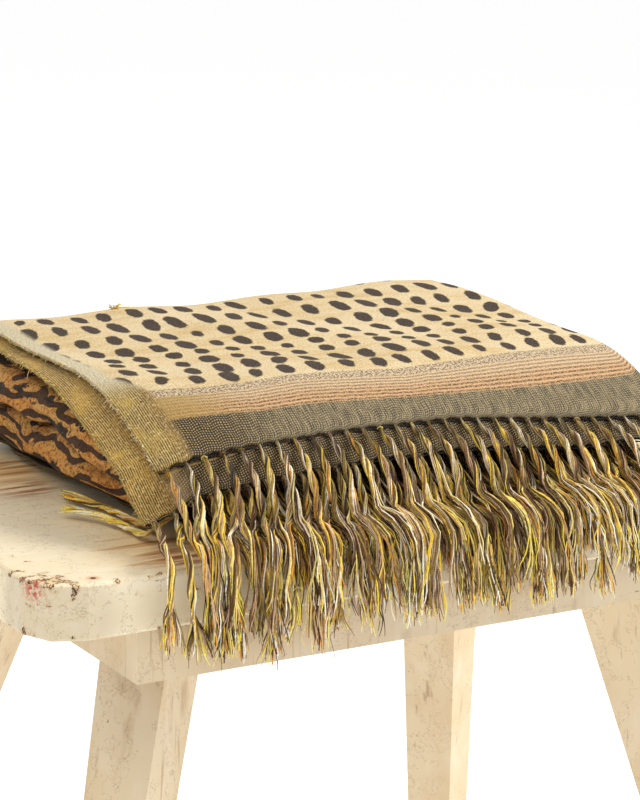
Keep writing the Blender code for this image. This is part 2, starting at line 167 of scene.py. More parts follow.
# Rows of woven spots: distance from the cloth's end, then half width and half length of a spot (cm).
SPOT_ROWS = (
    (8.3, 0.62, 1.50), (11.4, 0.64, 1.50), (14.4, 0.66, 1.00), (16.7, 0.64, 0.86),
    (19.2, 0.66, 1.28), (22.8, 0.66, 1.60), (27.2, 0.64, 1.95), (31.7, 0.66, 1.75),
)
ROWS_REPEAT = 28.2
SPOT_PITCH = 2.45
SPOT_LEAN = 10
SPOT_SIZE = 0.97
SPOT_SIZE_LIMITS = (-0.35, 0.3)
SPOT_ROUND = 2.3
# Chance differences of a spot: across, along, of its size, and of its lean (degrees).
SPOT_UNEVEN = (0.26, 0.17, 0.10, 6)
# The end border runs unevenly: where its two edges lie along the upper end, by place across (cm).
BORDER_ACROSS = (3, 6, 9, 12, 16, 20, 25, 28, 32, 36, 40, 44.8)
BAND_EDGE = (4.0, 3.8, 3.3, 2.9, 2.9, 2.6, 2.36, 2.4, 2.8, 3.25, 3.8, 4.6)
SPOTS_EDGE = (8.4, 7.8, 6.9, 6.5, 6.8, 6.3, 5.65, 6.0, 6.9, 7.8, 8.7, 9.4)
BAND_WIDTH = 2.9
BORDER_WIDTH = 6.5
BORDER_FADES = 20 * CM
# How far along and across the cloth the uneven border and the outer plies reach, and where the cloth
# lies deep in the side folds and is painted in shade: between two places across and below two heights.
BORDER_SHOWN = 36 * CM
TOP_PANEL = 46 * CM
OUTER_LENGTH = 37 * CM
SHADED_FOLD_ACROSS = (4 * CM, 7 * CM)
SHADED_FOLD_BELOW = (8 * CM, 9.2 * CM)
SHADED_FOLD_ON_OUTER = 0.3
# A visible end is drawn back between its locks: by how much, share of it forward, and how near the end.
SCALLOP = 2.2 * MM
SCALLOP_FORWARD = 0.4
SCALLOP_REACH = 8

# Fringe
STRIP_GAP = 0.12 * CM
STRIP_DEPTH = 0.5 * CM
HIDDEN_MARGIN = 0.3 * CM
UNEVEN_SIDEWAYS = 0.12 * CM
UNEVEN_TIPS = (0.5 * CM, 0.2 * CM)
LOCK_PITCH = 1.4 * CM
LOCK_WIDTH = 0.75 * CM
LOCKS_FROM_EDGE = 0.2 * CM
# Where a lock drifts sideways as it hangs, by its place across (cm): at the seat's edge, and at its tip.
DRIFT_ACROSS = (3, 8, 12, 16, 25, 44)
FRONT_DRIFT = ((-1.9, -2.1, -1.9, -1.2, -0.9, -0.6), (-2.1, -2.5, -2.1, 0.0, 0.8, 1.3))
BACK_DRIFT = ((0.1, 0.2, 0.3, 0.4, 0.5, 0.6), (0.3, 0.4, 0.6, 0.8, 1.0, 1.2))
DRIFT_REACHED = (0.0, 0.6, 1.0)
ROUND_EDGE = (-0.75, 0.72)
# Each fringe: its node, its panel, its side of the pair, how far it keeps off the seat and how high
# its tips are (cm), its drift, and two powers that shape its fall.
FRINGES = (
    ("fringe_third_second", "panel 3", -1, 0.32, -2.8, BACK_DRIFT, (1.0, 2.6)),
    ("fringe_third_first", "panel 3", 1, 0.64, -2.2, BACK_DRIFT, (1.0, 2.5)),
    ("fringe_middle_first", "panel 2", 1, 0.96, -1.4, BACK_DRIFT, (1.0, 2.4)),
    ("fringe_middle_second", "panel 2", -1, 1.28, -0.7, BACK_DRIFT, (1.0, 2.3)),
    ("fringe_top_second", "panel 1", -1, 1.64, -5.6, FRONT_DRIFT, (1.0, 1.3)),
    ("fringe_top_first", "panel 1", 1, 2.10, -4.4, FRONT_DRIFT, (1.6, 1.0)),
)
VISIBLE_FALL = (0.3, 0.55, 0.8, 1.0)
HIDDEN_FALL = (0.25, 0.55, 1.0)
# Routes of the two locks turned back on the seat: across, from the front, up (cm).
TURNED_BACK = (
    ((4.1, 7.4, 1.7), (3.3, 8.3, 0.8), (3.2, 11.5, 0.45), (2.7, 15.5, 0.45), (1.5, 20.0, 0.45)),
    ((3.1, 6.7, 1.5), (2.1, 7.4, 0.7), (1.9, 9.8, 0.5), (1.1, 12.8, 0.45), (-0.6, 16.2, 0.45)),
)


def tone(red, green, blue):
    """Linear colour of a shade given as it looks, 0 to 255."""
    shades = []
    for value in (red, green, blue):
        share = value / 255
        shades.append(share / 12.92 if share <= 0.04045 else ((share + 0.055) / 1.055) ** 2.4)
    return tuple(shades)


LIGHTS_AIM = (0.0, 0.0, 0.45)
# Turn of the camera, in degrees: 12.5 below level, 29 round from straight ahead.
CAMERA_TURN = (77.5, 0.0, -29)
YARNS = {
    "yellow": tone(234, 198, 68),
    "straw": tone(226, 208, 124),
    "olive": tone(134, 114, 50),
    "taupe": tone(184, 154, 122),
    "cream": tone(248, 236, 212),
    "gold": tone(206, 146, 56),
    "umber": tone(122, 88, 52),
    "brown": tone(74, 48, 26),
    "black": tone(26, 22, 20),
}
# Shares of these yarns in the upper fringes, in the locks turned back and in the fringes behind.
FRONT_SHARES = (0.13, 0.11, 0.14, 0.14, 0.13, 0.04, 0.11, 0.16, 0.04)
TURNED_SHARES = (0.32, 0.26, 0.10, 0.05, 0.15, 0.05, 0.0, 0.05, 0.02)
BACK_SHARES = (0.10, 0.04, 0.22, 0.12, 0.04, 0.08, 0.14, 0.20, 0.06)

# Twist of a lock, how it comes apart, and how far its yarns and threads may stand out.
ROPE_PITCH = 4.4 * CM
PLY_OFFSET = 1.35 * MM
YARN_OFFSET = 1.20 * MM
YARN_TWIST = 0.55
UNTWISTED = 0.3
LOOSE_AFTER = 0.35
YARN_OUT = 12 * MM
THREAD_OUT = 8 * MM
ROUTE_POINTS = 90
OUT_AND_UP = np.array((0.0, -1.0, 0.8))
KNOTTED = 0.35
STRAYING = 0.3
# Step along the black strand that stands for the shadow under a visible end.
HEM_SHADOW_STEP = 0.17 * CM
TUFT = (14.7 * CM, 39.4 * CM)


def colour_setting(name, description, *shade):
    return FloatVectorProperty(name=name, description=description, subtype="COLOR", size=3, min=0, max=1,
                               default=tone(*shade))


def length_setting(name, description, default, **limits):
    return FloatProperty(name=name, description=description, default=default, unit="LENGTH", **limits)


class ThrowClothSettings(bpy.types.PropertyGroup):
    # The shaded ground is the same ground painted in shade, more orange, down in the side folds.
    ground: colour_setting("Ground", "Pale ground of the woven spots", 236, 214, 168)
    ground_shaded: colour_setting("Deep ground", "Ground colour down in the side folds", 244, 174, 84)
    spot: colour_setting("Spots", "Dark weft of the spots", 34, 24, 16)
    band_light: colour_setting("Band, light thread", "Light thread of the end band", 158, 140, 102)
    band_dark: colour_setting("Band, dark thread", "Dark thread of the end band", 78, 70, 50)
    line: colour_setting("Lines", "Fine weft lines above the end band", 240, 212, 170)
    thickness: length_setting("Thickness", "Thickness of the cloth", SHEET, min=0.001, max=0.004)


class ThrowFringeSettings(bpy.types.PropertyGroup):
    yarns: IntProperty(name="Yarns", description="Thick yarns in a lock", default=12, min=4, max=20)
    threads: IntProperty(
        name="Threads", description="Thin loose threads in a lock", default=22, min=4, max=40)
    yarn_radius: length_setting("Yarn radius", "Half the thickness of a thick yarn", 0.72 * MM)
    thread_radius: length_setting("Thread radius", "Half the thickness of a thin thread", 0.46 * MM)
    seed: IntProperty(name="Seed", description="Arrangement of the loose threads", default=7, min=0)


class ThrowStoolSettings(bpy.types.PropertyGroup):
    paint: colour_setting("Paint", "Old cream paint", 236, 224, 196)
    wood: colour_setting("Wood", "Stained wood under the paint", 150, 92, 44)
    wear: FloatProperty(
        name="Wear", description="How much paint is rubbed and chipped off", default=0.5, min=0, max=1,
        subtype="FACTOR")


class ThrowStudioSettings(bpy.types.PropertyGroup):
    camera_place: FloatVectorProperty(
        name="Camera", description="Place of the camera from the seat's front edge", size=3,
        subtype="TRANSLATION", default=(-0.75903, -1.58674, 0.50898), unit="LENGTH")
    focal_length: FloatProperty(
        name="Focal length", description="Focal length in millimetres", default=121.5, min=20)
    key_power: FloatProperty(
        name="Key light", description="Power of the main soft light", default=72, min=0)
    fill_power: FloatProperty(
        name="Fill light", description="Power of the warm side light", default=12, min=0)
    sky: FloatProperty(name="Room light", description="Brightness of the white room", default=0.62, min=0)


class Graph:
    """Short calls for the nodes of one material."""

    def __init__(self, name):
        self.material = bpy.data.materials.new(name)
        self.material.use_nodes = True
        self.tree = self.material.node_tree
        self.shader = self.tree.nodes["Principled BSDF"]

    def put(self, socket, value):
        if isinstance(value, bpy.types.NodeSocket):
            self.tree.links.new(value, socket)
        elif socket.type == "RGBA" and len(value) == 3:
            socket.default_value = (*value, 1.0)
        else:
            socket.default_value = value

    def fill(self, node, values):
        for key, value in values.items():
            self.put(node.inputs[key], value)
        return node.outputs

    def add(self, kind, **settings):
        node = self.tree.nodes.new(kind)
        for key, value in settings.items():
            setattr(node, key, value)
        return node

    def math(self, operation, *values):
        """One sum over two or more values, taken from the left."""
        total = values[0]
        for value in values[1:]:
            node = self.add("ShaderNodeMath", operation=operation)
            total = self.fill(node, {0: total, 1: value})[0]
        return total

    times = partialmethod(math, "MULTIPLY")
    plus = partialmethod(math, "ADD")
    minus = partialmethod(math, "SUBTRACT")
    most = partialmethod(math, "MAXIMUM")

    def distance(self, value, where):
        node = self.add("ShaderNodeMath", operation="ABSOLUTE")
        return self.fill(node, {0: self.minus(value, where)})[0]

    def blend(self, share, first, second, mode="MIX"):
        node = self.add("ShaderNodeMix", data_type="RGBA", blend_type=mode)
        return self.fill(node, {0: share, 6: first, 7: second})[2]

    def layers(self, colour, *rows):
        """A colour with others laid over it in turn: each row has a share, a colour and maybe a mode."""
        for share, over, *mode in rows:
            colour = self.blend(share, colour, over, *mode)
        return colour

    def step(self, value, low, high, top=1.0, bottom=0.0):
        node = self.add("ShaderNodeMapRange", interpolation_type="SMOOTHSTEP")
        return self.fill(node, dict(enumerate((value, low, high, bottom, top))))[0]

    def noise(self, place, scale, detail=3.0, roughness=0.55):
        node = self.add("ShaderNodeTexNoise")
        settings = {"Vector": place, "Scale": scale, "Detail": detail, "Roughness": roughness}
        return self.fill(node, settings)["Fac"]

    def patches(self, place, scale, low, high, top=1.0, detail=2.0):
        """Noise cut to soft patches."""
        return self.step(self.noise(place, scale, detail), low, high, top)

    def streaks(self, place, scale, detail=3.0, roughness=0.55, shift=(0.0, 0.0, 0.0)):
        """Noise with a scale of its own along each axis."""
        node = self.add("ShaderNodeMapping")
        drawn_out = self.fill(node, {"Vector": place, "Location": shift, "Scale": scale})[0]
        return self.noise(drawn_out, 1.0, detail, roughness)

    def waves(self, value, pitch):
        """Soft stripes of a pitch along a value: 1 on the thread, 0 between threads."""
        node = self.add("ShaderNodeMath", operation="SINE")
        return self.step(self.fill(node, {0: self.times(value, 2 * math.pi / pitch)})[0], -0.6, 0.7)

    def split(self, place):
        return self.fill(self.add("ShaderNodeSeparateXYZ"), {0: place})

    def attribute(self, name, output="Fac"):
        return self.add("ShaderNodeAttribute", attribute_name=name).outputs[output]

    def place(self):
        return self.add("ShaderNodeTexCoord").outputs["Object"]

    def flat(self, name):
        return self.add("ShaderNodeUVMap", uv_map=name).outputs[0]

    def relief(self, height, strength, depth):
        node = self.add("ShaderNodeBump")
        bumps = self.fill(node, {"Strength": strength, "Distance": depth, "Height": height})[0]
        self.put(self.shader.inputs["Normal"], bumps)

    def finish(self, colour, roughness=0.9, sheen=0.0):
        self.fill(self.shader, {"Base Color": colour, "Roughness": roughness, "Sheen Weight": sheen})
        return self.material


# Fold of the sheet

def smoothed(values, width, places=ACROSS):
    """Fine table of a row of values, its corners rounded over a width: places and table (cm)."""
    fine = np.arange(*TABLE_SPAN, TABLE_STEP)
    table = np.interp(fine, places, values)
    reach = int(width / TABLE_STEP)
    padded = np.pad(table, reach, mode="edge")
    weights = np.hanning(2 * reach + 3)[1:-1]
    return fine, np.convolve(padded, weights / weights.sum(), mode="valid")


def height_table():
    """Share of the pile's full height on a fine grid, its corners rounded."""
    rows = [smoothed(shares, ROUNDED_ALONG, HEIGHT_FROM_FRONT)[1] for _, shares in HEIGHT_SHARE]
    return np.array([smoothed(column, ROUNDED_ACROSS)[1] for column in np.array(rows).T])


HEIGHTS = height_table()
ROW_FIRST, ROW_SECOND, ROW_SAG = (
    smoothed(row, ROUNDED_ENDS) for row in (END_FIRST, END_SECOND, FRONT_SAG))


def from_row(row, x):
    return np.interp(x / CM, *row) * CM


def height_share(x, y):
    """Share of the full height that the pile keeps at places on the seat."""
    last = len(HEIGHTS) - 1.001
    across, along = (np.clip((value / CM - TABLE_SPAN[0]) / TABLE_STEP, 0, last) for value in (x, y))
    i, j = across.astype(int), along.astype(int)
    a, b = across - i, along - j
    near = HEIGHTS[j, i] * (1 - a) + HEIGHTS[j, i + 1] * a
    far = HEIGHTS[j + 1, i] * (1 - a) + HEIGHTS[j + 1, i + 1] * a
    return near * (1 - b) + far * b


def side_edge(ply, y):
    """Place across of a ply's free side edge, at a distance from the seat's front edge."""
    distances, places = SIDE_EDGES[ply]
    return float(np.interp(y / CM, distances, places)) * CM


def settle(x, y, z, hanging):
    """Move points of the evenly folded cloth to where the soft pile lets them lie."""
    towards_left = 1 - np.clip(x / SIDE_REACH, 0, 1)
    under_flap = np.interp(z, FLAP_FROM, (1, 0))
    inwards = np.interp(y, *STEP_FROM_FRONT) + np.interp(z, *STEP_FROM_BELOW)
    for size, along, up in WANDER:
        inwards = inwards + size * np.sin(along * y + up * z)
    crumple = 0
    for size, along, up, wander in CRUMPLE:
        crumple = crumple + size * np.sin(up * z + wander * np.sin(along * y + CRUMPLE_PHASE))
    near_left = np.interp(x, *CRUMPLE_ACROSS) * under_flap
    inwards = inwards + near_left * crumple
    height, across, along = SWELL
    lift = (z - LOWEST_PLY) * height_share(x, y)
    swell = np.interp(y, SWELL_FROM, (0, 1)) * (z - LOWEST_PLY) / MIDDLE
    lift = lift + swell * height * np.sin(across * x + along * y)
    lift = lift + CURL * np.interp(x, *CURL_ACROSS) ** 2 * np.interp(z, *CURL_BELOW)
    aloft = np.interp(z, LIFTED_FROM, (0, 1)) * np.interp(z, LIFTED_TO, (1, 0))
    slow, bend, quick, up = LIFT_WAVES
    waves = np.sin(slow * y + bend * np.sin(quick * y) + up * z)
    lift = lift + near_left * aloft * LIFT_OF_CRUMPLE * waves
    sag = np.interp(y, (SAG_FULL, SAG_START), (1, 0))
    sag = sag * np.interp(z, (TOP_PLY - PAIR_PITCH, TOP_PLY), (1, SAG_OF_FIRST_PLY))
    lift = lift - np.where(hanging, sag * from_row(ROW_SAG, x), 0)
    return x + towards_left * under_flap * inwards, y, LOWEST_PLY + lift


def settled_point(x, y, z, hanging):
    return np.array(settle(np.array(x), np.array(y), np.array(z), hanging), float)


def span(first, last, step):
    count = max(1, round(abs(last - first) / step))
    return [first + (last - first) * k / count for k in range(count + 1)]


def bend_angles(steps):
    return [math.pi / 2 - math.pi * k / steps for k in range(1, steps)]


def across_stations():
    """Stations across the cloth: over the top panel, round to the middle and the lowest one."""
    runs = (
        ("edge", [k / EDGE_STEPS for k in range(EDGE_STEPS)]),
        ("panel 1", span(EDGE_COLUMN, BEND_RIGHT, STEP_FINE)),
        ("right bend", bend_angles(RIGHT_BEND_STEPS)),
        ("panel 2", span(BEND_RIGHT, LEFT_PART, STEP_HIDDEN)),
        ("panel 2", span(LEFT_PART, BEND_LEFT, STEP_SIDE)[1:]),
        ("left bend", bend_angles(LEFT_BEND_STEPS)),
        ("panel 3", span(BEND_LEFT, LEFT_PART, STEP_SIDE)),
        ("panel 3", span(LEFT_PART, HIDDEN_EDGE, STEP_HIDDEN)[1:]),
    )
    return [(part, value) for part, values in runs for value in values]


def back_bend(side, edge_in, edge_out, rising):
    stations = []
    for k, angle in enumerate(bend_angles(BACK_BEND_STEPS), 1):
        edge = edge_in + (edge_out - edge_in) * k / BACK_BEND_STEPS
        stations.append(("back bend", -angle if rising else angle, side, edge))
    return stations


def run_of_stations(part, ply, side, places):
    return [(part, y, side, side_edge(ply, y)) for y in places]


def along_stations():
    """Stations along the cloth, first end to second: part of the fold, place, ply side, free edge."""
    upper, lower = ("upper first", "upper second"), ("lower first", "lower second")
    ends = {ply: side_edge(ply, BEND_BACK) for ply in (*upper, *lower)}
    first_edge, second_edge = (side_edge(ply, FIRST_ROW) for ply in upper)
    front_edge = side_edge(lower[0], FRONT_BEND)
    first_end = [k / FIRST_END_STEPS for k in range(FIRST_END_STEPS, 0, -1)]
    second_end = [k / SECOND_END_STEPS for k in range(1, SECOND_END_STEPS + 1)]
    stations = [("first end", share, 1, first_edge) for share in first_end]
    stations += run_of_stations("upper", upper[0], 1, span(FIRST_ROW, BEND_BACK, STEP_FINE))
    stations += back_bend(1, ends[upper[0]], ends[lower[0]], False)
    stations += run_of_stations("lower", lower[0], 1, span(BEND_BACK, FRONT_BEND, STEP_ALONG))
    stations += [("front bend", angle, 0, front_edge) for angle in bend_angles(FRONT_BEND_STEPS)]
    stations += run_of_stations("lower", lower[1], -1, span(FRONT_BEND, BEND_BACK, STEP_ALONG))
    stations += back_bend(-1, ends[lower[1]], ends[upper[1]], True)
    stations += run_of_stations("upper", upper[1], -1, span(BEND_BACK, FIRST_ROW, STEP_ALONG))
    stations += [("second end", share, -1, second_edge) for share in second_end]
    return stations


def place_across(kind, value, offset, free_edge):
    """Place across and height in the package of a ply lying offset above its pair's middle."""
    half = PANEL_PITCH / 2
    if kind == "edge":
        return free_edge + value * (EDGE_COLUMN - free_edge), PANEL_PITCH + offset
    if kind == "panel 1":
        return value, PANEL_PITCH + offset
    if kind == "right bend":
        radius = half + offset
        return BEND_RIGHT + radius * math.cos(value), half + radius * math.sin(value)
    if kind == "panel 2":
        return value, -offset
    if kind == "left bend":
        radius = half - offset
        return BEND_LEFT - radius * math.cos(value), radius * math.sin(value) - half
    return value, offset - PANEL_PITCH


def ply_end(kind, value, x, side):
    """Distance from the seat's front edge at which a ply ends."""
    ends = ROW_FIRST if side > 0 else ROW_SECOND
    if kind in ("edge", "panel 1"):
        return from_row(ends, x)
    if kind == "right bend":
        last = from_row(ends, BEND_RIGHT)
        return np.interp(value, (-math.pi / 2, math.pi / 2), (END_HIDDEN, last))
    return END_HIDDEN


def top_edge(side):
    """Place across of the side edge of the visible end on a side of its pair."""
    return side_edge("upper first" if side > 0 else "upper second", FIRST_ROW)


def scallop(x, side):
    """How far a visible end is drawn back between two locks."""
    middle = top_edge(side) + LOCKS_FROM_EDGE + LOCK_WIDTH / 2
    return SCALLOP * (np.abs(np.sin(math.pi * (x - middle) / LOCK_PITCH)) - SCALLOP_FORWARD)


def fold_point(across, along):
    """Unsettled place of a point of the sheet: across, from the front, height, and if it hangs."""
    kind, value, side, free_edge = along
    offset = side * PAIR_PITCH / 2
    if kind == "front bend":
        offset = PAIR_PITCH / 2 * math.sin(value)
    x, w = place_across(*across, offset, free_edge)
    if kind == "back bend":
        radius = PACKAGE_PITCH / 2 + w
        y = BEND_BACK + BACK_SQUEEZE * radius * math.cos(value)
        return x, y, MIDDLE + radius * math.sin(value), False
    if kind in ("lower", "front bend"):
        y = value if kind == "lower" else FRONT_BEND - PAIR_PITCH / 2 * math.cos(value)
        return x, y, MIDDLE - PACKAGE_PITCH / 2 - w, False
    y = value
    if kind in ("first end", "second end"):
        y = FIRST_ROW + value * (ply_end(*across, x, side) - FIRST_ROW)
        if across[0] in ("edge", "panel 1"):
            y += value ** SCALLOP_REACH * scallop(x, side)
    return x, y, MIDDLE + PACKAGE_PITCH / 2 + w, across[0] in ("edge", "panel 1")


def folded_grid():
    """Places of the whole sheet on its folds, along by across, in the part's frame."""
    across, along = across_stations(), along_stations()
    raw = np.array([[fold_point(a, b) for a in across] for b in along])
    x, y, z = settle(raw[..., 0], raw[..., 1], raw[..., 2], raw[..., 3] > 0.5)
    return np.stack((x, y, z), axis=-1) + np.array(DATUM)


def run_length(grid, axis):
    steps = np.linalg.norm(np.diff(grid, axis=axis), axis=-1)
    total = np.cumsum(steps, axis=axis)
    return np.insert(total, 0, 0, axis=axis)


def spot_table():
    """Places, sizes and leans of the woven spots, a row of them for each row of the pattern (cm)."""
    dice = np.random.default_rng(3)
    rows = [(at + repeat * ROWS_REPEAT, w, h) for repeat in range(-1, 4) for at, w, h in SPOT_ROWS]
    at, half_width, half_length = np.array(rows).T
    columns = int(FLAT_SIZE[0] / CM / SPOT_PITCH) + 4
    start = dice.uniform(0, SPOT_PITCH, (len(rows), 1))
    shape = (len(rows), columns)
    uneven_u, uneven_v, uneven_size, uneven_lean = SPOT_UNEVEN
    middle_u = start + SPOT_PITCH * (np.arange(columns) - 1) + dice.uniform(-uneven_u, uneven_u, shape)
    middle_v = at[:, None] + dice.uniform(-uneven_v, uneven_v, shape)
    size = SPOT_SIZE + dice.normal(0, uneven_size, shape).clip(*SPOT_SIZE_LIMITS)
    lean = np.radians(SPOT_LEAN + dice.normal(0, uneven_lean, shape))
    return at, start, middle_u, middle_v, half_width[:, None] * size, half_length[:, None] * size, lean


def spot_depth(u, v):
    """How far inside a spot's edge each place of the cloth is, in metres: below 0 is ground."""
    at, start, middle_u, middle_v, half_width, half_length, lean = spot_table()
    rows, columns = middle_u.shape
    u, v = u / CM, v / CM
    best = np.full(u.shape, -1.0)
    nearest = np.searchsorted((at[1:] + at[:-1]) / 2, v)
    for up in (-1, 0, 1):
        row = np.clip(nearest + up, 0, rows - 1)
        column = np.rint((u - start[row, 0]) / SPOT_PITCH).astype(int) + 1
        for beside in (-1, 0, 1):
            k = np.clip(column + beside, 0, columns - 1)
            du, dv = u - middle_u[row, k], v - middle_v[row, k]
            c, s = np.cos(lean[row, k]), np.sin(lean[row, k])
            wide, long = half_width[row, k], half_length[row, k]
            across, along = np.abs((du * c - dv * s) / wide), np.abs((dv * c + du * s) / long)
            reach = (across ** SPOT_ROUND + along ** SPOT_ROUND) ** (1 / SPOT_ROUND)
            best = np.maximum(best, (1 - reach) * wide * CM)
    return best


def along_border(v, x):
    """Distance from the end as the uneven border shows it."""
    band = np.interp(x / CM, BORDER_ACROSS, BAND_EDGE) * CM
    spots = np.interp(x / CM, BORDER_ACROSS, SPOTS_EDGE) * CM
    low = v * BAND_WIDTH * CM / band
    middle = BAND_WIDTH * CM + (v - band) * (BORDER_WIDTH - BAND_WIDTH) * CM / (spots - band)
    high = v + (BORDER_WIDTH * CM - spots) * np.clip(1 - (v - spots) / BORDER_FADES, 0, 1)
    return np.where(v < band, low, np.where(v < spots, middle, high))


def write_pattern(mesh, u, v, u_back, v_back, place):
    """Write on each point what the pattern needs: distances from the cloth's edges, spots and depth, the
    painted shade of the side folds.
    """
    first_half = v < v_back
    nearest_end = np.minimum(v, v_back)
    drawn_back = np.where(first_half, scallop(place[:, 0], 1), scallop(place[:, 0], -1))
    straight = nearest_end + drawn_back
    on_top = u < TOP_PANEL
    shown = first_half & (v < BORDER_SHOWN) & on_top
    outer = (nearest_end < OUTER_LENGTH) & on_top
    from_end = np.where(on_top, straight, nearest_end)
    from_end = np.where(shown, along_border(straight, place[:, 0]), from_end)
    near_left = np.interp(place[:, 0], SHADED_FOLD_ACROSS, (1, 0))
    shaded_fold = near_left * np.interp(place[:, 2], SHADED_FOLD_BELOW, (1, 0))
    patterns = {
        "from_end": from_end,
        "from_side": np.minimum(u, u_back),
        "shown": shown,
        "spot": spot_depth(u, from_end),
        "outer": outer,
        # depth: where the side folds are painted in shade and have a rougher pile, less of it on the outer
        # plies
        "depth": np.where(outer, shaded_fold * SHADED_FOLD_ON_OUTER, shaded_fold),
    }
    for name, values in patterns.items():
        layer = mesh.attributes.new(name, "FLOAT", "POINT")
        layer.data.foreach_set("value", np.asarray(values, float))


def lay_cloth(sheet, grid):
    """Lay a flat grid on the folds and write its flat places and pattern on it."""
    mesh = sheet.data
    flat = np.zeros(len(mesh.vertices) * 3)
    mesh.vertices.foreach_get("co", flat)
    flat = flat.reshape(-1, 3)
    ny, nx, _ = grid.shape
    i = np.rint((flat[:, 0] + 0.5) * (nx - 1)).astype(int)
    j = np.rint((flat[:, 1] + 0.5) * (ny - 1)).astype(int)
    mesh.vertices.foreach_set("co", grid[j, i].ravel())
    across, along = run_length(grid, 1), run_length(grid, 0)
    u, v = across[j, i], along[j, i]
    u_back, v_back = (across[:, -1:] - across)[j, i], (along[-1:, :] - along)[j, i]
    write_pattern(mesh, u, v, u_back, v_back, grid[j, i] - np.array(DATUM))
    layer = mesh.uv_layers[0]
    layer.name = "flat_cloth"
    loops = np.zeros(len(mesh.loops), int)
    mesh.loops.foreach_get("vertex_index", loops)
    layer.data.foreach_set("uv", np.stack((u[loops], v[loops]), axis=-1).ravel())
    mesh.update()


def deselect():
    for obj in bpy.context.selected_objects:
        obj.select_set(False)


def add_object(name, data, place=(0.0, 0.0, 0.0)):
    thing = bpy.data.objects.new(name, data)
    thing.location = place
    bpy.context.scene.collection.objects.link(thing)
    return thing


def apply_modifiers(piece):
    deselect()
    piece.select_set(True)
    bpy.context.view_layer.objects.active = piece
    for modifier in list(piece.modifiers):
        bpy.ops.object.modifier_apply(modifier=modifier.name)


def shaded_roll_hollows(g, place, depth):
    """Mask of the hollows between the soft rolls of the side folds, where shade is painted in."""
    wander = g.times(g.streaks(place, (30.0, 22.0, 12.0), 2.0), 34 * MM)
    hollow = g.step(g.waves(g.plus(g.split(place)[2], wander), 15 * MM), 0.11, 0.0)
    return g.times(hollow, g.step(depth, 0.35, 0.8))


def spotted_cloth(g, look, flat, weft):
    """Pale ground with dark oval spots; down in the side folds ground and spots are painted in shade, more
    orange and darker, and the pile is rougher.
    """
    depth, place = g.attribute("depth"), g.place()
    cloudy = g.streaks(flat, (18.0, 60.0, 1.0))
    speckle, pile = g.noise(flat, 620.0, 2.0), g.noise(place, 300.0, 4.0, 0.7)
    # Painted shade: the ground as the side folds show it in shade, more orange, with a rougher pile.
    shaded_fold = g.layers(
        look.ground_shaded,
        (g.patches(place, 24.0, 0.42, 0.6), tone(238, 186, 98)),
        (g.step(pile, 0.44, 0.64), tone(168, 92, 30)))
    ground = g.layers(
        look.ground,
        (g.step(cloudy, 0.42, 0.68, 0.9), tone(222, 192, 132)),
        (g.patches(flat, 8.0, 0.44, 0.6, 0.55), tone(246, 228, 190)),
        (g.step(weft, 0.52, 0.75, 0.5), tone(252, 240, 208)),
        (g.step(speckle, 0.5, 0.7, 0.6), tone(164, 130, 86)),
        (depth, shaded_fold))
    dark = g.layers(
        look.spot,
        (g.step(speckle, 0.45, 0.7, 0.5), tone(132, 100, 70)),
        # spots painted darker in the shade of the side folds
        (depth, g.blend(g.step(pile, 0.48, 0.64), tone(14, 9, 6), tone(88, 46, 20))))
    ragged = g.times(g.minus(g.noise(place, 150.0), 0.5), g.step(depth, 0, 1, 14 * MM, 3 * MM))
    frayed = g.times(g.minus(weft, 0.5), 2.6 * MM)
    edge = g.plus(g.attribute("spot"), frayed, g.times(depth, -2.4 * MM), ragged)
    shaded_hollows = shaded_roll_hollows(g, place, depth)
    colour = g.layers(
        ground,
        (g.step(edge, -0.5 * MM, 0.8 * MM), dark),
        # painted shade in the hollows between the rolls
        (shaded_hollows, (0.10, 0.07, 0.05), "MULTIPLY"))
    return colour, g.minus(pile, shaded_hollows)


def woven_band(g, look, warp, crossing, covered, closed):
    """Band of crossing threads: open at the cloth's side, closed further in."""
    open_band = g.layers(
        tone(20, 15, 9),
        (g.step(covered, 0.2, 1.0), tone(66, 52, 28)),
        (g.times(crossing, g.step(warp, 0.3, 0.6, 1.0, 0.55)), tone(192, 168, 116)))
    shut_band = g.layers(
        look.band_dark,
        (g.step(warp, 0.40, 0.62), look.band_light),
        (g.times(crossing, 0.55), tone(204, 192, 160)),
        (g.step(covered, 0.6, 0.1, 0.75), tone(56, 48, 32)))
    return g.blend(closed, open_band, shut_band)


def end_border(g, look, flat, warp, weft):
    """Mottled line, fine lines, then the open band down to the end."""
    from_end, from_side = g.attribute("from_end"), g.attribute("from_side")
    across, along = g.split(flat)[0:2]
    loose = g.times(g.noise(flat, 120.0, 2.0), 2.4 * MM)
    upright, level = g.waves(g.plus(across, loose), 1.9 * MM), g.waves(g.plus(along, loose), 2.3 * MM)
    crossing, covered = g.times(upright, level), g.most(upright, level)
    closed = g.times(g.step(from_side, 45 * MM, 120 * MM), g.attribute("shown"))
    band = woven_band(g, look, warp, crossing, covered, closed)
    fleck = g.patches(flat, 560.0, 0.44, 0.56)
    fade = g.step(from_end, 36 * MM, 50 * MM)
    striped = g.waves(g.plus(from_end, g.times(weft, 0.35 * MM)), 3.5 * MM)
    thread = g.times(striped, g.step(crossing, 0.0, 0.6, 1.0, 0.6))
    lines = g.layers(
        tone(104, 76, 44),
        (fleck, tone(186, 150, 108)),
        (g.times(fade, 0.35), tone(206, 184, 154)),
        (thread, g.blend(fade, tone(236, 192, 146), look.line)),
        (g.step(from_side, 95 * MM, 35 * MM, 0.7), tone(176, 144, 72)))
    mottled = g.layers(
        tone(128, 104, 72),
        (fleck, tone(222, 200, 168)),
        (g.times(crossing, 0.4), tone(246, 230, 196)))
    border = g.layers(
        band,
        (g.step(from_end, 28.5 * MM, 29.5 * MM), lines),
        (g.step(from_end, 53 * MM, 55 * MM), mottled))
    return border, crossing


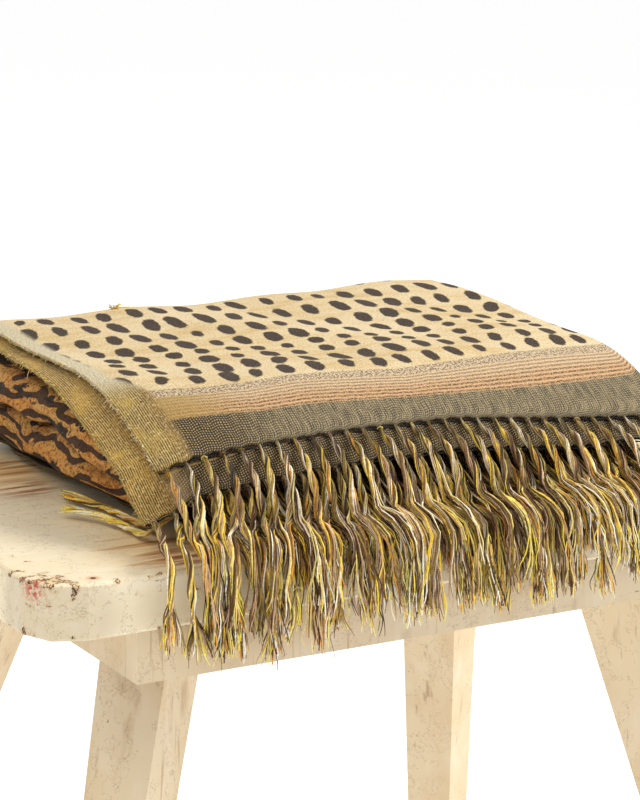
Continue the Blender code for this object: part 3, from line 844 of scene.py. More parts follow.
def side_margin(g, flat, warp):
    """Ribbed olive side edge near the ends, a narrow pale one further along the upper ply."""
    from_side, shown = g.attribute("from_side"), g.attribute("shown")
    rib = g.waves(g.plus(from_side, g.times(g.noise(flat, 60.0, 2.0), 1.2 * MM)), 1.7 * MM)
    olive = g.layers(
        tone(84, 66, 26),
        (rib, tone(208, 178, 106)),
        (g.patches(flat, 38.0, 0.42, 0.62, 0.5), tone(216, 180, 86)),
        (g.step(from_side, 14 * MM, 26 * MM, 0.55), tone(132, 98, 48)),
        (g.patches(flat, 420.0, 0.5, 0.7, 0.7), tone(232, 212, 160)),
        (g.patches(flat, 360.0, 0.42, 0.3, 0.7), tone(64, 50, 22)),
        (g.step(shown, 0.6, 0.4), (1.0, 0.93, 0.78), "MULTIPLY"))
    pale = g.blend(g.patches(flat, 700.0, 0.36, 0.6), tone(188, 174, 138), tone(232, 222, 192))
    far = g.times(g.step(g.attribute("from_end"), 60 * MM, 105 * MM), shown)
    width = g.plus(g.times(far, -14 * MM), g.times(warp, 3 * MM))
    return g.blend(far, olive, pale), g.step(g.minus(from_side, width), 30 * MM, 23 * MM)


def cloth_material(look):
    """Woven cloth: spots all over, a border at each end and ribbed side edges."""
    g = Graph("throw_cloth")
    flat = g.flat("flat_cloth")
    weft = g.streaks(flat, (50.0, 620.0, 1.0), 2.0)
    warp = g.streaks(flat, (760.0, 55.0, 1.0), 3.0, 0.65)
    spotted, pile = spotted_cloth(g, look, flat, weft)
    border, crossing = end_border(g, look, flat, warp, weft)
    margin, within = side_margin(g, flat, warp)
    depth = g.attribute("depth")
    frayed_end = g.plus(g.attribute("from_end"), g.times(g.minus(warp, 0.5), 4 * MM))
    edged = g.times(g.step(frayed_end, 65.5 * MM, 63.5 * MM), g.step(depth, 0.5, 0.15))
    colour = g.layers(
        spotted,
        (edged, border),
        # side edges of the inner plies are dark olive-brown, painted shade; the outer plies show their
        # margin
        (within, g.blend(g.attribute("outer"), tone(96, 76, 40), margin)),
        (g.patches(flat, 1100.0, 0.42, 0.7, 0.40), tone(74, 54, 30)))
    height = g.plus(g.times(crossing, 0.7), g.plus(weft, warp), g.times(pile, depth, 7.0))
    g.relief(height, 0.9, 0.8 * MM)
    return g.finish(colour, 0.92, 0.04)


class THROW_OT_folded_cloth(bpy.types.Operator):
    """Lay the whole sheet of the throw on its folds"""
    bl_idname = "throw.folded_cloth"
    bl_label = "Folded cloth"

    def execute(self, context):
        look = context.scene.throw_cloth
        grid = folded_grid()
        ny, nx, _ = grid.shape
        deselect()
        bpy.ops.mesh.primitive_grid_add(x_subdivisions=nx - 1, y_subdivisions=ny - 1, size=1.0)
        sheet = context.object
        sheet.name = "folded_throw"
        lay_cloth(sheet, grid)
        solid = sheet.modifiers.new("Cloth thickness", "SOLIDIFY")
        solid.thickness = look.thickness
        solid.offset = 0.0
        apply_modifiers(sheet)
        bpy.ops.object.shade_smooth()
        sheet.data.materials.clear()
        sheet.data.materials.append(cloth_material(look))
        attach(sheet, "root")
        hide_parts("throw_cloth")
        return {"FINISHED"}


# Fringe

def yarn_material(name):
    """Wool yarn in each strand's own colours, with painted shade in darker hollows and painted highlights
    as lighter slubs.
    """
    g = Graph(name)
    place = g.place()
    streak = g.noise(place, 620.0, 2.0)
    colour = g.layers(
        g.attribute("yarn", "Color"),
        # painted shade in the yarn's hollows, then painted highlights on its slubs
        (g.step(streak, 0.5, 0.75, 0.6), (0.35, 0.30, 0.26), "MULTIPLY"),
        (g.patches(place, 90.0, 0.48, 0.72), (0.30, 0.26, 0.20), "DODGE"))
    g.relief(streak, 0.7, 0.3 * MM)
    return g.finish(colour, 0.88, 0.03)


def unit(rows):
    return rows / np.linalg.norm(rows, axis=1)[:, None]


def smooth_route(points, count):
    """Even points on a soft curve through the given ones."""
    points = np.array(points, float)
    ends = np.vstack((2 * points[0] - points[1], points, 2 * points[-1] - points[-2]))
    fine = []
    for k in range(len(points) - 1):
        a, b, c, d = ends[k:k + 4]
        for t in np.linspace(0, 1, 12, endpoint=False):
            fine.append(0.5 * (2 * b + (c - a) * t + (2 * a - 5 * b + 4 * c - d) * t ** 2
                               + (3 * b - a - 3 * c + d) * t ** 3))
    fine = np.array(fine + [points[-1]])
    run = run_length(fine, 0)
    even = np.linspace(0, run[-1], count)
    return np.stack([np.interp(even, run, fine[:, axis]) for axis in range(3)], axis=-1), run[-1]


def strip_point(panel, side, x, distance):
    """Point on the backing strip of a ply's fringe, at a distance from the ply's end."""
    _, w = place_across(panel, x, side * PAIR_PITCH / 2, 0.0)
    y = ply_end(panel, x, x, side) - distance
    return settled_point(x, y, MIDDLE + PACKAGE_PITCH / 2 + w, panel == "panel 1")


def lock_route(root, visible, powers, clearance, tip, drifts, uneven):
    """Route of a lock: down to the seat, over its front edge, then hanging."""
    bow, dive = powers
    places = []
    for t in VISIBLE_FALL if visible else HIDDEN_FALL:
        height = (1 - t ** bow) ** dive
        places.append((root[1] * (1 - t), clearance + height * (root[2] - clearance)))
    places.append((ROUND_EDGE[0] * clearance, ROUND_EDGE[1] * clearance))
    if visible:
        places.append((-clearance, 0.0))
    places.append((-clearance, tip))
    reached = [0.0] + [np.interp(root[0] / CM, DRIFT_ACROSS, row) * CM for row in drifts]
    shares = np.arange(1, len(places) + 1) / len(places)
    sideways = root[0] + np.interp(shares, DRIFT_REACHED, reached) + uneven * shares
    return [(x, y, z) for x, (y, z) in zip(sideways, places)]


def is_turned(name, k):
    return name == FRINGES[0][0] and k < len(TURNED_BACK)


def fringe_routes(name, panel, side, clearance, tip, drifts, powers):
    """Middle lines of a fringe's locks, from the ply's end to their tips."""
    visible = panel == "panel 1"
    start = top_edge(side) + LOCKS_FROM_EDGE if visible else EDGE_COLUMN
    end = BEND_RIGHT if visible else HIDDEN_EDGE - HIDDEN_MARGIN
    uneven_tip = UNEVEN_TIPS[0 if visible else 1]
    routes = []
    for k in range(int((end - start - LOCK_WIDTH) / LOCK_PITCH) + 1):
        x = start + k * LOCK_PITCH + LOCK_WIDTH / 2
        back = strip_point(panel, side, x, FIT)
        root = strip_point(panel, side, x, STRIP_GAP + STRIP_DEPTH)
        if is_turned(name, k):
            route = [np.array(p) * CM for p in TURNED_BACK[k]]
        else:
            uneven = UNEVEN_SIDEWAYS * math.sin(2.4 * k + 5 * clearance)
            low = tip * CM + uneven_tip * math.sin(1.7 * k + 3 * side)
            route = lock_route(root, visible, powers, clearance * CM, low, drifts, uneven)
        routes.append(np.vstack((back, root, route)))
    return routes


class StrandSet:
    """Square-section strands gathered in one mesh, each with two colours side by side round it."""

    def __init__(self):
        self.places = []
        self.colours = []
        self.faces = []
        self.count = 0

    def strand(self, points, radii, colour, other=None, twist=0.0, shade=1.0):
        steps = len(points)
        onward = unit(np.gradient(points, axis=0))
        upright = np.zeros(3)
        upright[np.argmin(np.abs(points[-1] - points[0]))] = 1.0
        first = unit(np.cross(onward, upright))
        second = np.cross(onward, first)
        angle = (np.arange(4) * math.pi / 2)[None, :] + (np.arange(steps) * twist)[:, None]
        ring = first[:, None, :] * np.cos(angle)[..., None]
        ring = ring + second[:, None, :] * np.sin(angle)[..., None]
        ring = points[:, None, :] + ring * np.asarray(radii)[:, None, None]
        self.places.append(ring.reshape(-1, 3) + np.array(DATUM))
        other = other or colour
        dyed = np.tile(np.array((colour, colour, other, other)), (steps, 1))
        # The shade factor scales the colour along a strand: the locks pass painted shade at their roots
        # and painted light at their tips.
        shades = np.repeat(np.broadcast_to(shade, steps), 4)
        self.colours.append(np.minimum(1.0, dyed * shades[:, None]))
        rows = self.count + 4 * np.arange(steps - 1)[:, None]
        at, beside = rows + np.arange(4), rows + (np.arange(4) + 1) % 4
        self.faces.append(np.stack((at, beside, beside + 4, at + 4), axis=-1).reshape(-1, 4))
        last = self.count + 4 * (steps - 1)
        caps = np.array(((3, 2, 1, 0), (0, 1, 2, 3))) + np.array(((self.count,), (last,)))
        self.faces.append(caps)
        self.count = last + 4

    def mesh(self, name):
        data = bpy.data.meshes.new(name)
        faces = np.vstack(self.faces)
        data.vertices.add(self.count)
        data.vertices.foreach_set("co", np.vstack(self.places).ravel())
        data.loops.add(faces.size)
        data.loops.foreach_set("vertex_index", faces.ravel())
        data.polygons.add(len(faces))
        data.polygons.foreach_set("loop_start", np.arange(len(faces)) * 4)
        data.polygons.foreach_set("use_smooth", np.ones(len(faces), bool))
        data.update(calc_edges=True)
        colours = np.vstack(self.colours)
        layer = data.attributes.new("yarn", "FLOAT_COLOR", "POINT")
        layer.data.foreach_set("color", np.column_stack((colours, np.ones(len(colours)))).ravel())
        data.materials.append(bpy.data.materials.get("wool_yarn") or yarn_material("wool_yarn"))
        return add_object(name, data)


def frame_along(line):
    """Onward, level and outward ways for each point of a lock's line."""
    tangent = unit(np.gradient(line, axis=0))
    side = np.cross(tangent, OUT_AND_UP)
    side = unit(np.where(side[:, :1] < 0, -side, side))
    outward = np.cross(side, tangent)
    turned = (outward @ OUT_AND_UP) < 0
    return tangent, side, np.where(turned[:, None], -outward, outward)


def soft(value, low, high):
    share = np.clip((value - low) / (high - low), 0, 1)
    return share * share * (3 - 2 * share)


def ripple(dice, t, size, slow, fast):
    swing = dice.uniform(0.3, 1.0) * size
    angle = 2 * math.pi * dice.uniform(slow, fast) * t + dice.uniform(0, 6.3)
    return swing * np.sin(angle)


def any_yarn(dice, shares):
    """Colour of a yarn drawn by lot, a little lighter or darker than its dye."""
    colour = tuple(YARNS.values())[dice.choice(len(YARNS), p=shares)]
    shade = dice.uniform(0.8, 1.2)
    return tuple(min(1.0, shade * part) for part in colour)


class Lock:
    """One lock: two plies of yarn twisted at the root, coming apart into loose yarns and threads."""

    def __init__(self, route, form, dice):
        fine, length = smooth_route(route, ROUTE_POINTS)
        opening = dice.uniform(*form["opens"])
        rope = np.linspace(0, opening, form["rope points"], endpoint=False)
        t = np.concatenate((rope, np.linspace(opening, 1, form["loose points"])))
        even = np.linspace(0, 1, len(fine))
        self.line, self.tangent, self.side, self.outward = (
            np.stack([np.interp(t, even, row[:, axis]) for axis in range(3)], axis=-1)
            for row in (fine, *frame_along(fine)))
        twisted = np.minimum(t, opening) + UNTWISTED * np.maximum(t - opening, 0)
        self.turn = 2 * math.pi * length / ROPE_PITCH * twisted + dice.uniform(0, 2 * math.pi)
        self.loose = soft(t, opening, opening + LOOSE_AFTER)
        self.gathered = 0.34 + 0.66 * soft(t, 0.0, 0.16)
        self.lean = (form["lean"] + dice.normal(0, 2.5 * MM)) * soft(t, 0.25, 1.0)
        self.swing = ripple(dice, t, 2.0 * MM, 0.5, 1.2) * soft(t, 0.1, 0.5)
        self.longer = form["longer"] + dice.uniform(-4, 4) * MM
        self.spread = form["spread"] * dice.uniform(0.5, 1.3)
        # Painted shade and light along the lock: darker at the root, where shade falls between the locks,
        # lighter toward the tips.
        self.shade = 0.50 + 0.50 * soft(t, 0.0, 0.34) + 0.32 * soft(t, 0.45, 1.0)
        self.dyes = any_yarn(dice, form["shares"]), any_yarn(dice, form["shares"])
        self.t, self.opening, self.form, self.dice = t, opening, form, dice

    def moved(self, base, across, depth, reach):
        aside = base + self.side * across[:, None] + self.outward * depth[:, None]
        return aside + self.tangent * reach[:, None]

    def yarn(self, strands, k, radius):
        """Lay one thick yarn, turning in its ply as the two plies turn round each other."""
        t, form, dice, loose = self.t, self.form, self.dice, self.loose
        ply = self.turn + math.pi * (k % 2)
        own = 4 * math.pi * (k // 2) / form["thick"] + 0.5 * self.turn
        offset = PLY_OFFSET * self.gathered * (1 + 0.9 * loose)
        ring = YARN_OFFSET * self.gathered * (1 + 0.8 * loose)
        across = offset * np.cos(ply) + ring * np.cos(own) + self.lean + self.swing
        depth = offset * np.sin(ply) + ring * np.sin(own)
        across += loose * (dice.normal(0, self.spread) * (0.3 + t) + ripple(dice, t, 1.1 * MM, 3.0, 6.0))
        depth += loose * (dice.normal(0, form["flare"]) * (0.3 + t) + ripple(dice, t, 0.9 * MM, 3.0, 6.0))
        depth = np.clip(depth, -form["inner"], YARN_OUT) + form["lift"] * soft(t, 0.05, 0.3)
        reach = (self.longer + dice.uniform(-7, 4) * MM) * soft(t, 0.55, 1.0)
        place = self.moved(self.line, across, depth, reach)
        thinner = (1 - 0.22 * loose) * (1 - 0.3 * soft(t, 0.97, 1.0))
        radii = radius * dice.uniform(0.8, 1.2) * thinner
        first = self.dyes[k % 2] if dice.random() < 0.2 else any_yarn(dice, form["shares"])
        strands.strand(place, radii, first, any_yarn(dice, form["shares"]), YARN_TWIST, self.shade)
        return place, first

    def thread(self, strands, place, colour, radius):
        """Lay one thin thread, leaving the thick yarn at a place somewhere below the rope."""
        t, form, dice = self.t, self.form, self.dice
        begin = min(0.8, dice.uniform(self.opening - 0.06, self.opening + 0.30))
        away = soft(t, begin, 1.0)
        across = away * (dice.normal(0, 2.4 * MM) + ripple(dice, t, 1.5 * MM, 3.0, 7.0))
        depth = away * (dice.normal(0.5 * MM, 1.4 * MM) + ripple(dice, t, 1.2 * MM, 3.0, 7.0))
        depth = np.clip(depth, -0.4 * form["inner"], THREAD_OUT)
        reach = dice.uniform(-7, 6) * MM * soft(t, 0.7, 1.0)
        own = self.moved(place, across, depth, reach)
        if dice.random() < 0.6:
            colour = any_yarn(dice, form["shares"])
        first = max(0, int(np.searchsorted(t, begin)) - 1)
        radii = radius * dice.uniform(0.7, 1.25) * (1 - 0.5 * soft(t, 0.92, 1.0))
        strands.strand(own[first:], radii[first:], colour, shade=self.shade[first:])

    def lay(self, strands, look):
        yarns = [self.yarn(strands, k, look.yarn_radius) for k in range(self.form["thick"])]
        for k in range(self.form["thin"]):
            self.thread(strands, *yarns[k % len(yarns)], look.thread_radius)


def add_knot(strands, lock, dice):
    """A turn of yarn drawn round a lock where it leaves the cloth."""
    onwards = (lock.line[2] - lock.line[1]) / np.linalg.norm(lock.line[2] - lock.line[1])
    middle = lock.line[0] + onwards * 2.2 * MM
    angles = np.linspace(0, 2 * math.pi, 9)
    across, depth = 2.0 * MM * np.cos(angles), 1.9 * MM * np.sin(angles)
    place = middle + np.outer(across, lock.side[1]) + np.outer(depth, lock.outward[1])
    place += np.outer(across * dice.uniform(-0.6, 0.6), onwards)
    strands.strand(place, np.full(9, 0.5 * MM), YARNS[dice.choice(("taupe", "olive", "umber", "straw"))])


def add_hem_shadow_strand(strands, panel, side, dice):
    """Black strand along a visible ply's end, following its scallops: a painted shadow in the gap under
    the drawn-back end.
    """
    places = []
    for x in np.arange(top_edge(side) + 0.1 * CM, BEND_RIGHT - 0.1 * CM, HEM_SHADOW_STEP):
        beyond = 0.4 * MM - scallop(x, side) + dice.normal(0, 0.35 * MM)
        places.append(strip_point(panel, side, x, beyond) - np.array((0, 0, 1.9 * MM)))
    sizes = dice.uniform(0.35, 1.15, len(places)) * MM
    strands.strand(np.array(places), sizes, YARNS["black"], twist=0.8)


def wandering(dice, t, size, quick):
    return size * np.sin(quick * t + dice.uniform(0, 6)) * t


def add_stray_thread(strands, lock, dice):
    """One long thin thread that has come loose and wanders below its lock."""
    t = np.linspace(0, 1, 18)
    begin = int(len(lock.line) * dice.uniform(0.55, 0.85))
    base = lock.line[begin] + lock.outward[-1] * 3 * MM
    across = dice.uniform(-14, 14) * MM * t + wandering(dice, t, 5 * MM, 5)
    depth = wandering(dice, t, 4 * MM, 4)
    down = dice.uniform(18, 38) * MM * t + wandering(dice, t, 5 * MM, 7)
    place = base + np.column_stack((across, -np.abs(depth), -down))
    strands.strand(place, np.full(18, 0.22 * MM), YARNS[dice.choice(("black", "black", "umber", "straw"))])


def lock_form(row, look, turned):
    """How full and how free the locks of a fringe are."""
    visible = row[1] == "panel 1"
    shares = np.array(TURNED_SHARES if turned else FRONT_SHARES if visible else BACK_SHARES)
    form = {"shares": shares / shares.sum(), "thick": look.yarns, "thin": look.threads,
            "rope points": 17, "loose points": 13, "opens": (0.25, 0.80),
            "lean": 0.0, "longer": 0.0, "lift": 0.0,
            "spread": 3.0 * MM, "flare": 2.2 * MM, "inner": 3.0 * MM}
    if not visible:
        form.update({"thick": 6, "thin": 12, "rope points": 6, "loose points": 10, "opens": (0.15, 0.4),
                     "spread": 4.0 * MM, "flare": 1.4 * MM, "inner": min(3.0, 10 * row[3] - 1.6) * MM})
    if turned:
        form.update({"thick": 14, "thin": 6, "rope points": 14, "loose points": 6, "opens": (0.75, 0.85),
                     "spread": 1.2 * MM, "flare": 0.8 * MM, "inner": 1.2 * MM})
    return form


def gather_locks(count, dice):
    """Sideways lean, extra length and lift of each lock: neighbours hang together in small bunches."""
    rows = []
    while len(rows) < count:
        size = int(dice.integers(1, 4))
        longer, lift = dice.uniform(-13, 8) * MM, dice.uniform(-0.5, 5) * MM
        shift = dice.normal(1.5 * MM, 4 * MM)
        for k in range(size):
            towards = ((size - 1) / 2 - k) * LOCK_PITCH * 0.6
            rows.append((towards + shift, longer, lift))
    return rows[:count]


class THROW_OT_fringe(bpy.types.Operator):
    """Make the fringe of each ply's end from twisted yarns that come apart"""
    bl_idname = "throw.fringe"
    bl_label = "Fringe"

    def execute(self, context):
        look = context.scene.throw_fringe
        for index, row in enumerate(FRINGES):
            name, panel, side = row[:3]
            visible = panel == "panel 1"
            dice = np.random.default_rng(look.seed + index)
            strands = StrandSet()
            routes = fringe_routes(*row)
            for k, (route, bunch) in enumerate(zip(routes, gather_locks(len(routes), dice))):
                form = lock_form(row, look, is_turned(name, k))
                if visible:
                    form["lean"], form["longer"], form["lift"] = bunch
                lock = Lock(route, form, dice)
                lock.lay(strands, look)
                if visible and dice.random() < KNOTTED:
                    add_knot(strands, lock, dice)
                if visible and dice.random() < STRAYING:
                    add_stray_thread(strands, lock, dice)
            if visible:
                # A black strand painted as the shadow under the visible end.
                add_hem_shadow_strand(strands, panel, side, dice)
            piece = strands.mesh(name + "_yarns")
            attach(piece, "root")
            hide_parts(name)
        return {"FINISHED"}


def edge_point(ply, y):
    """Point on the free side edge of the top panel."""
    side = 1 if ply == "upper first" else -1
    z = MIDDLE + PACKAGE_PITCH / 2 + PANEL_PITCH + side * PAIR_PITCH / 2
    return settled_point(side_edge(ply, y), y, z, True)


def fray_edge(strands, ply, end, shades, dull, dice):
    """A loose rim yarn in three turns and short hairs along a ply's side edge."""
    for turn in (-1, 0, 1):
        ys = np.arange(end, BEND_BACK, 1.8 * MM)
        rim = np.array([edge_point(ply, y) for y in ys])
        rim[:, 0] += dice.normal(0.1 * MM, 0.25 * MM, len(ys))
        rim[:, 2] += dice.normal(0, 0.25 * MM, len(ys)) + turn * 0.7 * MM
        strands.strand(rim, dice.uniform(0.3, 0.5, len(ys)) * MM, shades[0], dull, 1.3)
    for y in np.arange(end, BEND_BACK, 0.75 * MM):
        root = edge_point(ply, y) + np.array((0.8 * MM, 0, dice.normal(0, 0.7 * MM)))
        way = np.array((-1.0, dice.normal(0, 0.6), dice.normal(0, 0.6)))
        size = dice.uniform(0.8, 2.2) * MM * (1.7 if dice.random() < 0.06 else 1.0)
        bent = way + np.array((0.2, dice.normal(0, 0.6), dice.normal(0, 0.6)))
        hair = np.array((root, root + way * size * 0.6, root + (way + 0.6 * bent) * size * 0.75))
        shade = shades[dice.choice(3, p=(0.6, 0.2, 0.2))]
        strands.strand(hair, np.array((0.34, 0.30, 0.14)) * MM, shade)


def add_tuft(strands, dice):
    """Tuft of short yarns that stands up at the back of the fold."""
    root = settled_point(*TUFT, TOP_PLY, False)
    for _ in range(22):
        way = np.array((dice.normal(0, 1.0), dice.normal(0, 0.6), dice.uniform(0.3, 1.2))) * 3.4 * MM
        bent = np.array((root, root + way, root + 1.6 * way + (1 * MM, 0, -1.2 * MM)))
        radii = np.array((0.5, 0.45, 0.3)) * MM
        strands.strand(bent, radii, YARNS[dice.choice(("gold", "yellow", "straw"))])


class THROW_OT_frayed_edges(bpy.types.Operator):
    """Fray the free side edges of the two upper plies with short hairs and a loose rim yarn"""
    bl_idname = "throw.frayed_edges"
    bl_label = "Frayed side edges"

    def execute(self, context):
        dice = np.random.default_rng(context.scene.throw_fringe.seed + 40)
        strands = StrandSet()
        pale, dull = tone(214, 196, 156), tone(176, 154, 92)
        fray_edge(strands, "upper first", 7.4 * CM, (pale, YARNS["cream"], YARNS["straw"]), dull, dice)
        fray_edge(strands, "upper second", 4.8 * CM, (dull, YARNS["straw"], pale), dull, dice)
        add_tuft(strands, dice)
        piece = strands.mesh("side_edge_hairs")
        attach(piece, "root")
        return {"FINISHED"}


# Stool

def near(g, place, *spots):
    """1 at a spot of the stool, falling to 0 at its reach: each has its x, y, z and reach (cm)."""
    shares = []
    for *centre, reach in spots:
        node = g.add("ShaderNodeVectorMath", operation="DISTANCE")
        g.fill(node, {0: place, 1: DATUM + Vector(centre) * CM})
        shares.append(g.step(node.outputs["Value"], reach * CM, 0.0))
    return g.most(*shares)


def rim_of(g, value, where, reach):
    return g.step(g.distance(value, where), reach, 1 * MM)


def painted_base(g, look, place, grain):
    """Old cream paint over brushed grain, with fine cracks and dark specks."""
    dash = g.streaks(place, (55.0, 260.0, 260.0))
    crack = g.distance(g.noise(place, 26.0, 5.0, 0.7), 0.5)
    return g.layers(
        look.paint,
        (g.patches(place, 9.0, 0.35, 0.7, detail=4.0), tone(236, 222, 190)),
        (g.step(grain, 0.45, 0.8, 0.4), tone(250, 245, 232)),
        (g.step(dash, 0.70, 0.76, 0.75), tone(96, 70, 44)),
        (g.step(crack, 0.008, 0.002, 0.4), tone(140, 120, 90)))


def worn_top_with_painted_light(g, look, place, grain, top_face):
    """Paint rubbed down to stained wood beside the throw and painted lighter and warmer there as painted
    light, with two dark smears.
    """
    beside = near(g, place, (1.0, 31.5, 0.0, 9.5), (3.5, 5.5, 0.0, 8.5))
    worn = g.plus(grain, g.times(beside, 0.34 * (0.5 + look.wear)))
    rubbed = g.times(g.step(worn, 0.72, 0.84), top_face, g.step(beside, 0.0, 0.25), 0.8)
    fibre = g.streaks(place, (12.0, 160.0, 60.0))
    smear = g.step(g.streaks(place, (16.0, 120.0, 60.0), 4.0, shift=(0.31, 0.2, 0.0)), 0.42, 0.56)
    smeared = near(g, place, (0.8, 26.0, 0.0, 4.6), (2.6, 2.6, 0.0, 4.2))
    return g.layers(
        painted_base(g, look, place, grain),
        # painted light: the top beside the throw warmer and brighter
        (g.times(beside, top_face, 0.85), tone(255, 226, 172)),
        (rubbed, g.blend(g.step(fibre, 0.4, 0.62), tone(222, 178, 120), look.wood)),
        (g.times(smear, smeared, top_face), tone(150, 84, 40)))


def seat_material(look):
    """Seat board: worn brown along the grain beside the throw, chipped at its rims, one nail, painted
    shade on its sides near the left front corner.
    """
    g = Graph("seat_paint_worn")
    place = g.place()
    x, y, z = g.split(place)[0:3]
    grain = g.streaks(place, (7.0, 85.0, 85.0), 4.0)
    top_face = g.step(z, SEAT_HIGH.z - 1.0 * MM, SEAT_HIGH.z - 0.2 * MM)
    below_top = g.step(z, SEAT_HIGH.z - 0.5 * MM, SEAT_HIGH.z - 3 * MM)
    upper_rim = g.times(rim_of(g, z, SEAT_HIGH.z, 7 * MM), g.most(
        rim_of(g, y, SEAT_LOW.y, 8 * MM), rim_of(g, x, SEAT_LOW.x, 42 * MM)))
    rim = g.most(upper_rim, g.times(rim_of(g, z, SEAT_LOW.z, 8 * MM), 0.9))
    patch = near(g, place, (-6.9, 1.6, -0.4, 3.4))
    chips = g.plus(g.noise(place, 95.0, 5.0, 0.68), g.times(rim, 0.12), g.times(patch, 0.16))
    chip = g.step(chips, 0.715 - 0.03 * look.wear, 0.735 - 0.03 * look.wear)
    bare = g.layers(
        tone(132, 80, 42),
        (g.patches(place, 240.0, 0.4, 0.6), tone(48, 34, 24)),
        (g.step(chips, 0.745, 0.765), tone(222, 196, 154)))
    broken = g.patches(place, 300.0, 0.42, 0.56, 1.2)
    nail = (-4.7, 1.2, 0.0)
    # Painted shade on the seat's sides near its left front corner.
    corner_side_shade = g.times(near(g, place, (-8.4, 1.5, -2.2, 8.0)), below_top)
    colour = g.layers(
        worn_top_with_painted_light(g, look, place, grain, top_face),
        (g.step(chips, 0.60, 0.70, 0.5), tone(214, 186, 140)),
        (chip, bare),
        (g.times(near(g, place, (-8.9, 2.2, -0.5, 1.5)), broken), tone(204, 52, 30)),
        (g.times(near(g, place, (*nail, 0.75)), 0.8), tone(206, 120, 60)),
        (g.step(near(g, place, (*nail, 0.42)), 0.45, 0.6), tone(92, 36, 22)),
        (g.step(corner_side_shade, 0.1, 0.5), (0.76, 0.74, 0.72), "MULTIPLY"))
    g.relief(g.minus(g.times(grain, 0.5), g.times(chip, 0.8)), 0.6, 0.7 * MM)
    return g.finish(colour, g.step(chip, 0.0, 1.0, 0.8, 0.5))


def leg_material(look):
    """Legs and rails: tanner paint over upright grain, stained where they meet the seat and darker there
    as painted shade under the apron.
    """
    g = Graph("leg_paint_worn")
    place = g.place()
    grain = g.streaks(place, (70.0, 70.0, 6.0), 4.0)
    streak = g.streaks(place, (160.0, 160.0, 8.0))
    # Stain, and painted shade under the apron, at the top of a leg.
    apron_stain_and_shade = near(g, place, (2.6, 8.6, -10.5, 5.0))
    stained = g.plus(g.streaks(place, (30.0, 30.0, 9.0), 4.0), g.times(apron_stain_and_shade, 0.35))
    colour = g.layers(
        painted_base(g, look, place, grain),
        (g.step(g.noise(place, 14.0), 0.4, 0.7, 0.5, 0.1), tone(214, 186, 138)),
        (g.step(stained, 0.64, 0.85, 0.75), tone(164, 122, 70)),
        (g.step(streak, 0.62, 0.74, 0.5), tone(150, 116, 74)),
        (1.0, (0.82, 0.78, 0.75), "MULTIPLY"))
    g.relief(grain, 0.5, 0.6 * MM)
    return g.finish(colour, 0.6)


class THROW_OT_stool_paint(bpy.types.Operator):
    """Give the stool its old chipped paint"""
    bl_idname = "throw.stool_paint"
    bl_label = "Stool paint"

    def execute(self, context):
        look = context.scene.throw_stool
        paints = {"seat": seat_material(look), "rail": leg_material(look)}
        paints["leg_"] = paints["rail"]
        for name, node in frame["nodes"].items():
            if name[:4] in paints:
                node.data.materials.clear()
                node.data.materials.append(paints[name[:4]])
        return {"FINISHED"}


# Studio

def area_light(name, place, size, power, colour):
    light = bpy.data.lights.new(name, "AREA")
    light.shape = "DISK"
    light.size = size
    light.energy = power
    light.color = colour
    lamp = add_object(name, light, place)
    lamp.rotation_euler = (Vector(LIGHTS_AIM) - Vector(place)).to_track_quat("-Z", "Y").to_euler()


def put_camera(studio):
    camera = bpy.data.cameras.new("studio_camera")
    camera.lens = studio.focal_length
    camera.clip_end = 100
    stand = add_object("studio_camera", camera, DATUM + Vector(studio.camera_place))
    stand.rotation_euler = [math.radians(angle) for angle in CAMERA_TURN]
    bpy.context.scene.camera = stand


def put_floor():
    deselect()
    bpy.ops.mesh.primitive_plane_add(size=60)
    floor = bpy.context.object
    floor.name = "floor"
    g = Graph("floor_white")
    shade = g.blend(g.noise(g.place(), 3.0), (0.93, 0.93, 0.93), (0.95, 0.95, 0.95))
    g.fill(g.shader, {"Emission Color": (1.0, 1.0, 1.0), "Emission Strength": 0.4})
    floor.data.materials.append(g.finish(shade, 0.9))


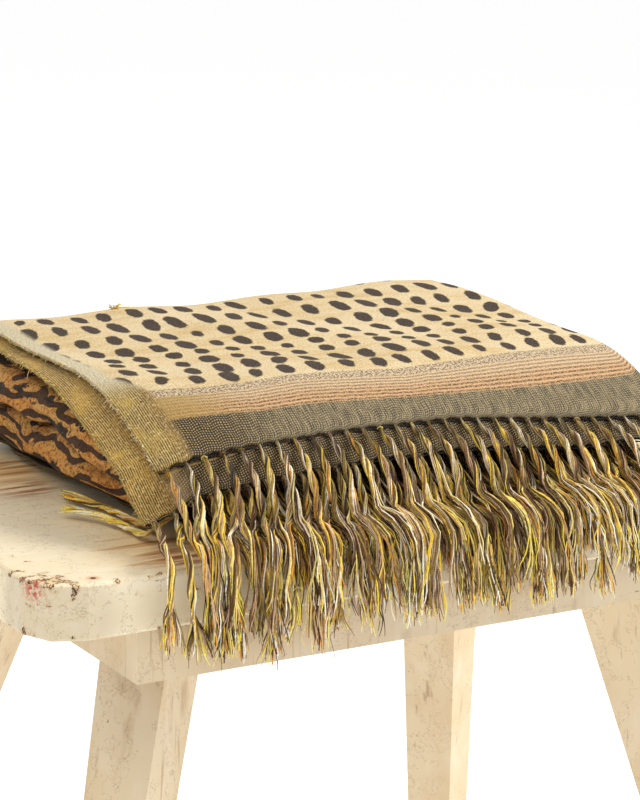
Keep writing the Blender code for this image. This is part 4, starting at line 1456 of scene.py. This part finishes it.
class THROW_OT_studio(bpy.types.Operator):
    """Put up the camera, the soft lights and the pale floor"""
    bl_idname = "throw.studio"
    bl_label = "Studio"

    def execute(self, context):
        studio = context.scene.throw_studio
        put_camera(studio)
        world = bpy.data.worlds.new("white_room")
        world.use_nodes = True
        background = world.node_tree.nodes["Background"]
        background.inputs["Color"].default_value = (1.0, 1.0, 1.0, 1.0)
        background.inputs["Strength"].default_value = studio.sky
        context.scene.world = world
        area_light("key_light", (1.9, -0.9, 2.3), 1.5, studio.key_power, (1.0, 0.97, 0.92))
        area_light("fill_light", (-1.4, -0.6, 2.1), 1.0, studio.fill_power, (1.0, 0.84, 0.60))
        put_floor()
        context.scene.view_settings.view_transform = "Standard"
        return {"FINISHED"}


class THROW_PT_panel(bpy.types.Panel):
    """Shows a button for each step that makes the throw and its stool, and a box of their settings"""
    bl_idname = "THROW_PT_panel"
    bl_label = "Folded throw"
    bl_space_type = "VIEW_3D"
    bl_region_type = "UI"
    bl_category = "Throw"

    def draw(self, context):
        for operator in OPERATORS:
            self.layout.operator(operator.bl_idname)
        for name in GROUPS:
            group = getattr(context.scene, name)
            box = self.layout.box()
            for key in group.__annotations__:
                box.prop(group, key)


GROUPS = {
    "throw_cloth": ThrowClothSettings,
    "throw_fringe": ThrowFringeSettings,
    "throw_stool": ThrowStoolSettings,
    "throw_studio": ThrowStudioSettings,
}
OPERATORS = (THROW_OT_studio, THROW_OT_folded_cloth, THROW_OT_fringe, THROW_OT_frayed_edges,
             THROW_OT_stool_paint)


def register():
    for group in GROUPS.values():
        bpy.utils.register_class(group)
    for cls in (*OPERATORS, THROW_PT_panel):
        bpy.utils.register_class(cls)
    for name, group in GROUPS.items():
        setattr(bpy.types.Scene, name, PointerProperty(type=group))


def unregister():
    for name in GROUPS:
        delattr(bpy.types.Scene, name)
    for cls in (THROW_PT_panel, *OPERATORS):
        bpy.utils.unregister_class(cls)
    for group in GROUPS.values():
        bpy.utils.unregister_class(group)


def main():
    register()
    bpy.ops.throw.studio()
    bpy.ops.throw.folded_cloth()
    bpy.ops.throw.fringe()
    bpy.ops.throw.frayed_edges()
    bpy.ops.throw.stool_paint()
    yarns = [bpy.data.objects[row[0] + "_yarns"] for row in FRINGES]
    yarns.append(bpy.data.objects["side_edge_hairs"])


if __name__ == "__main__":
    main()
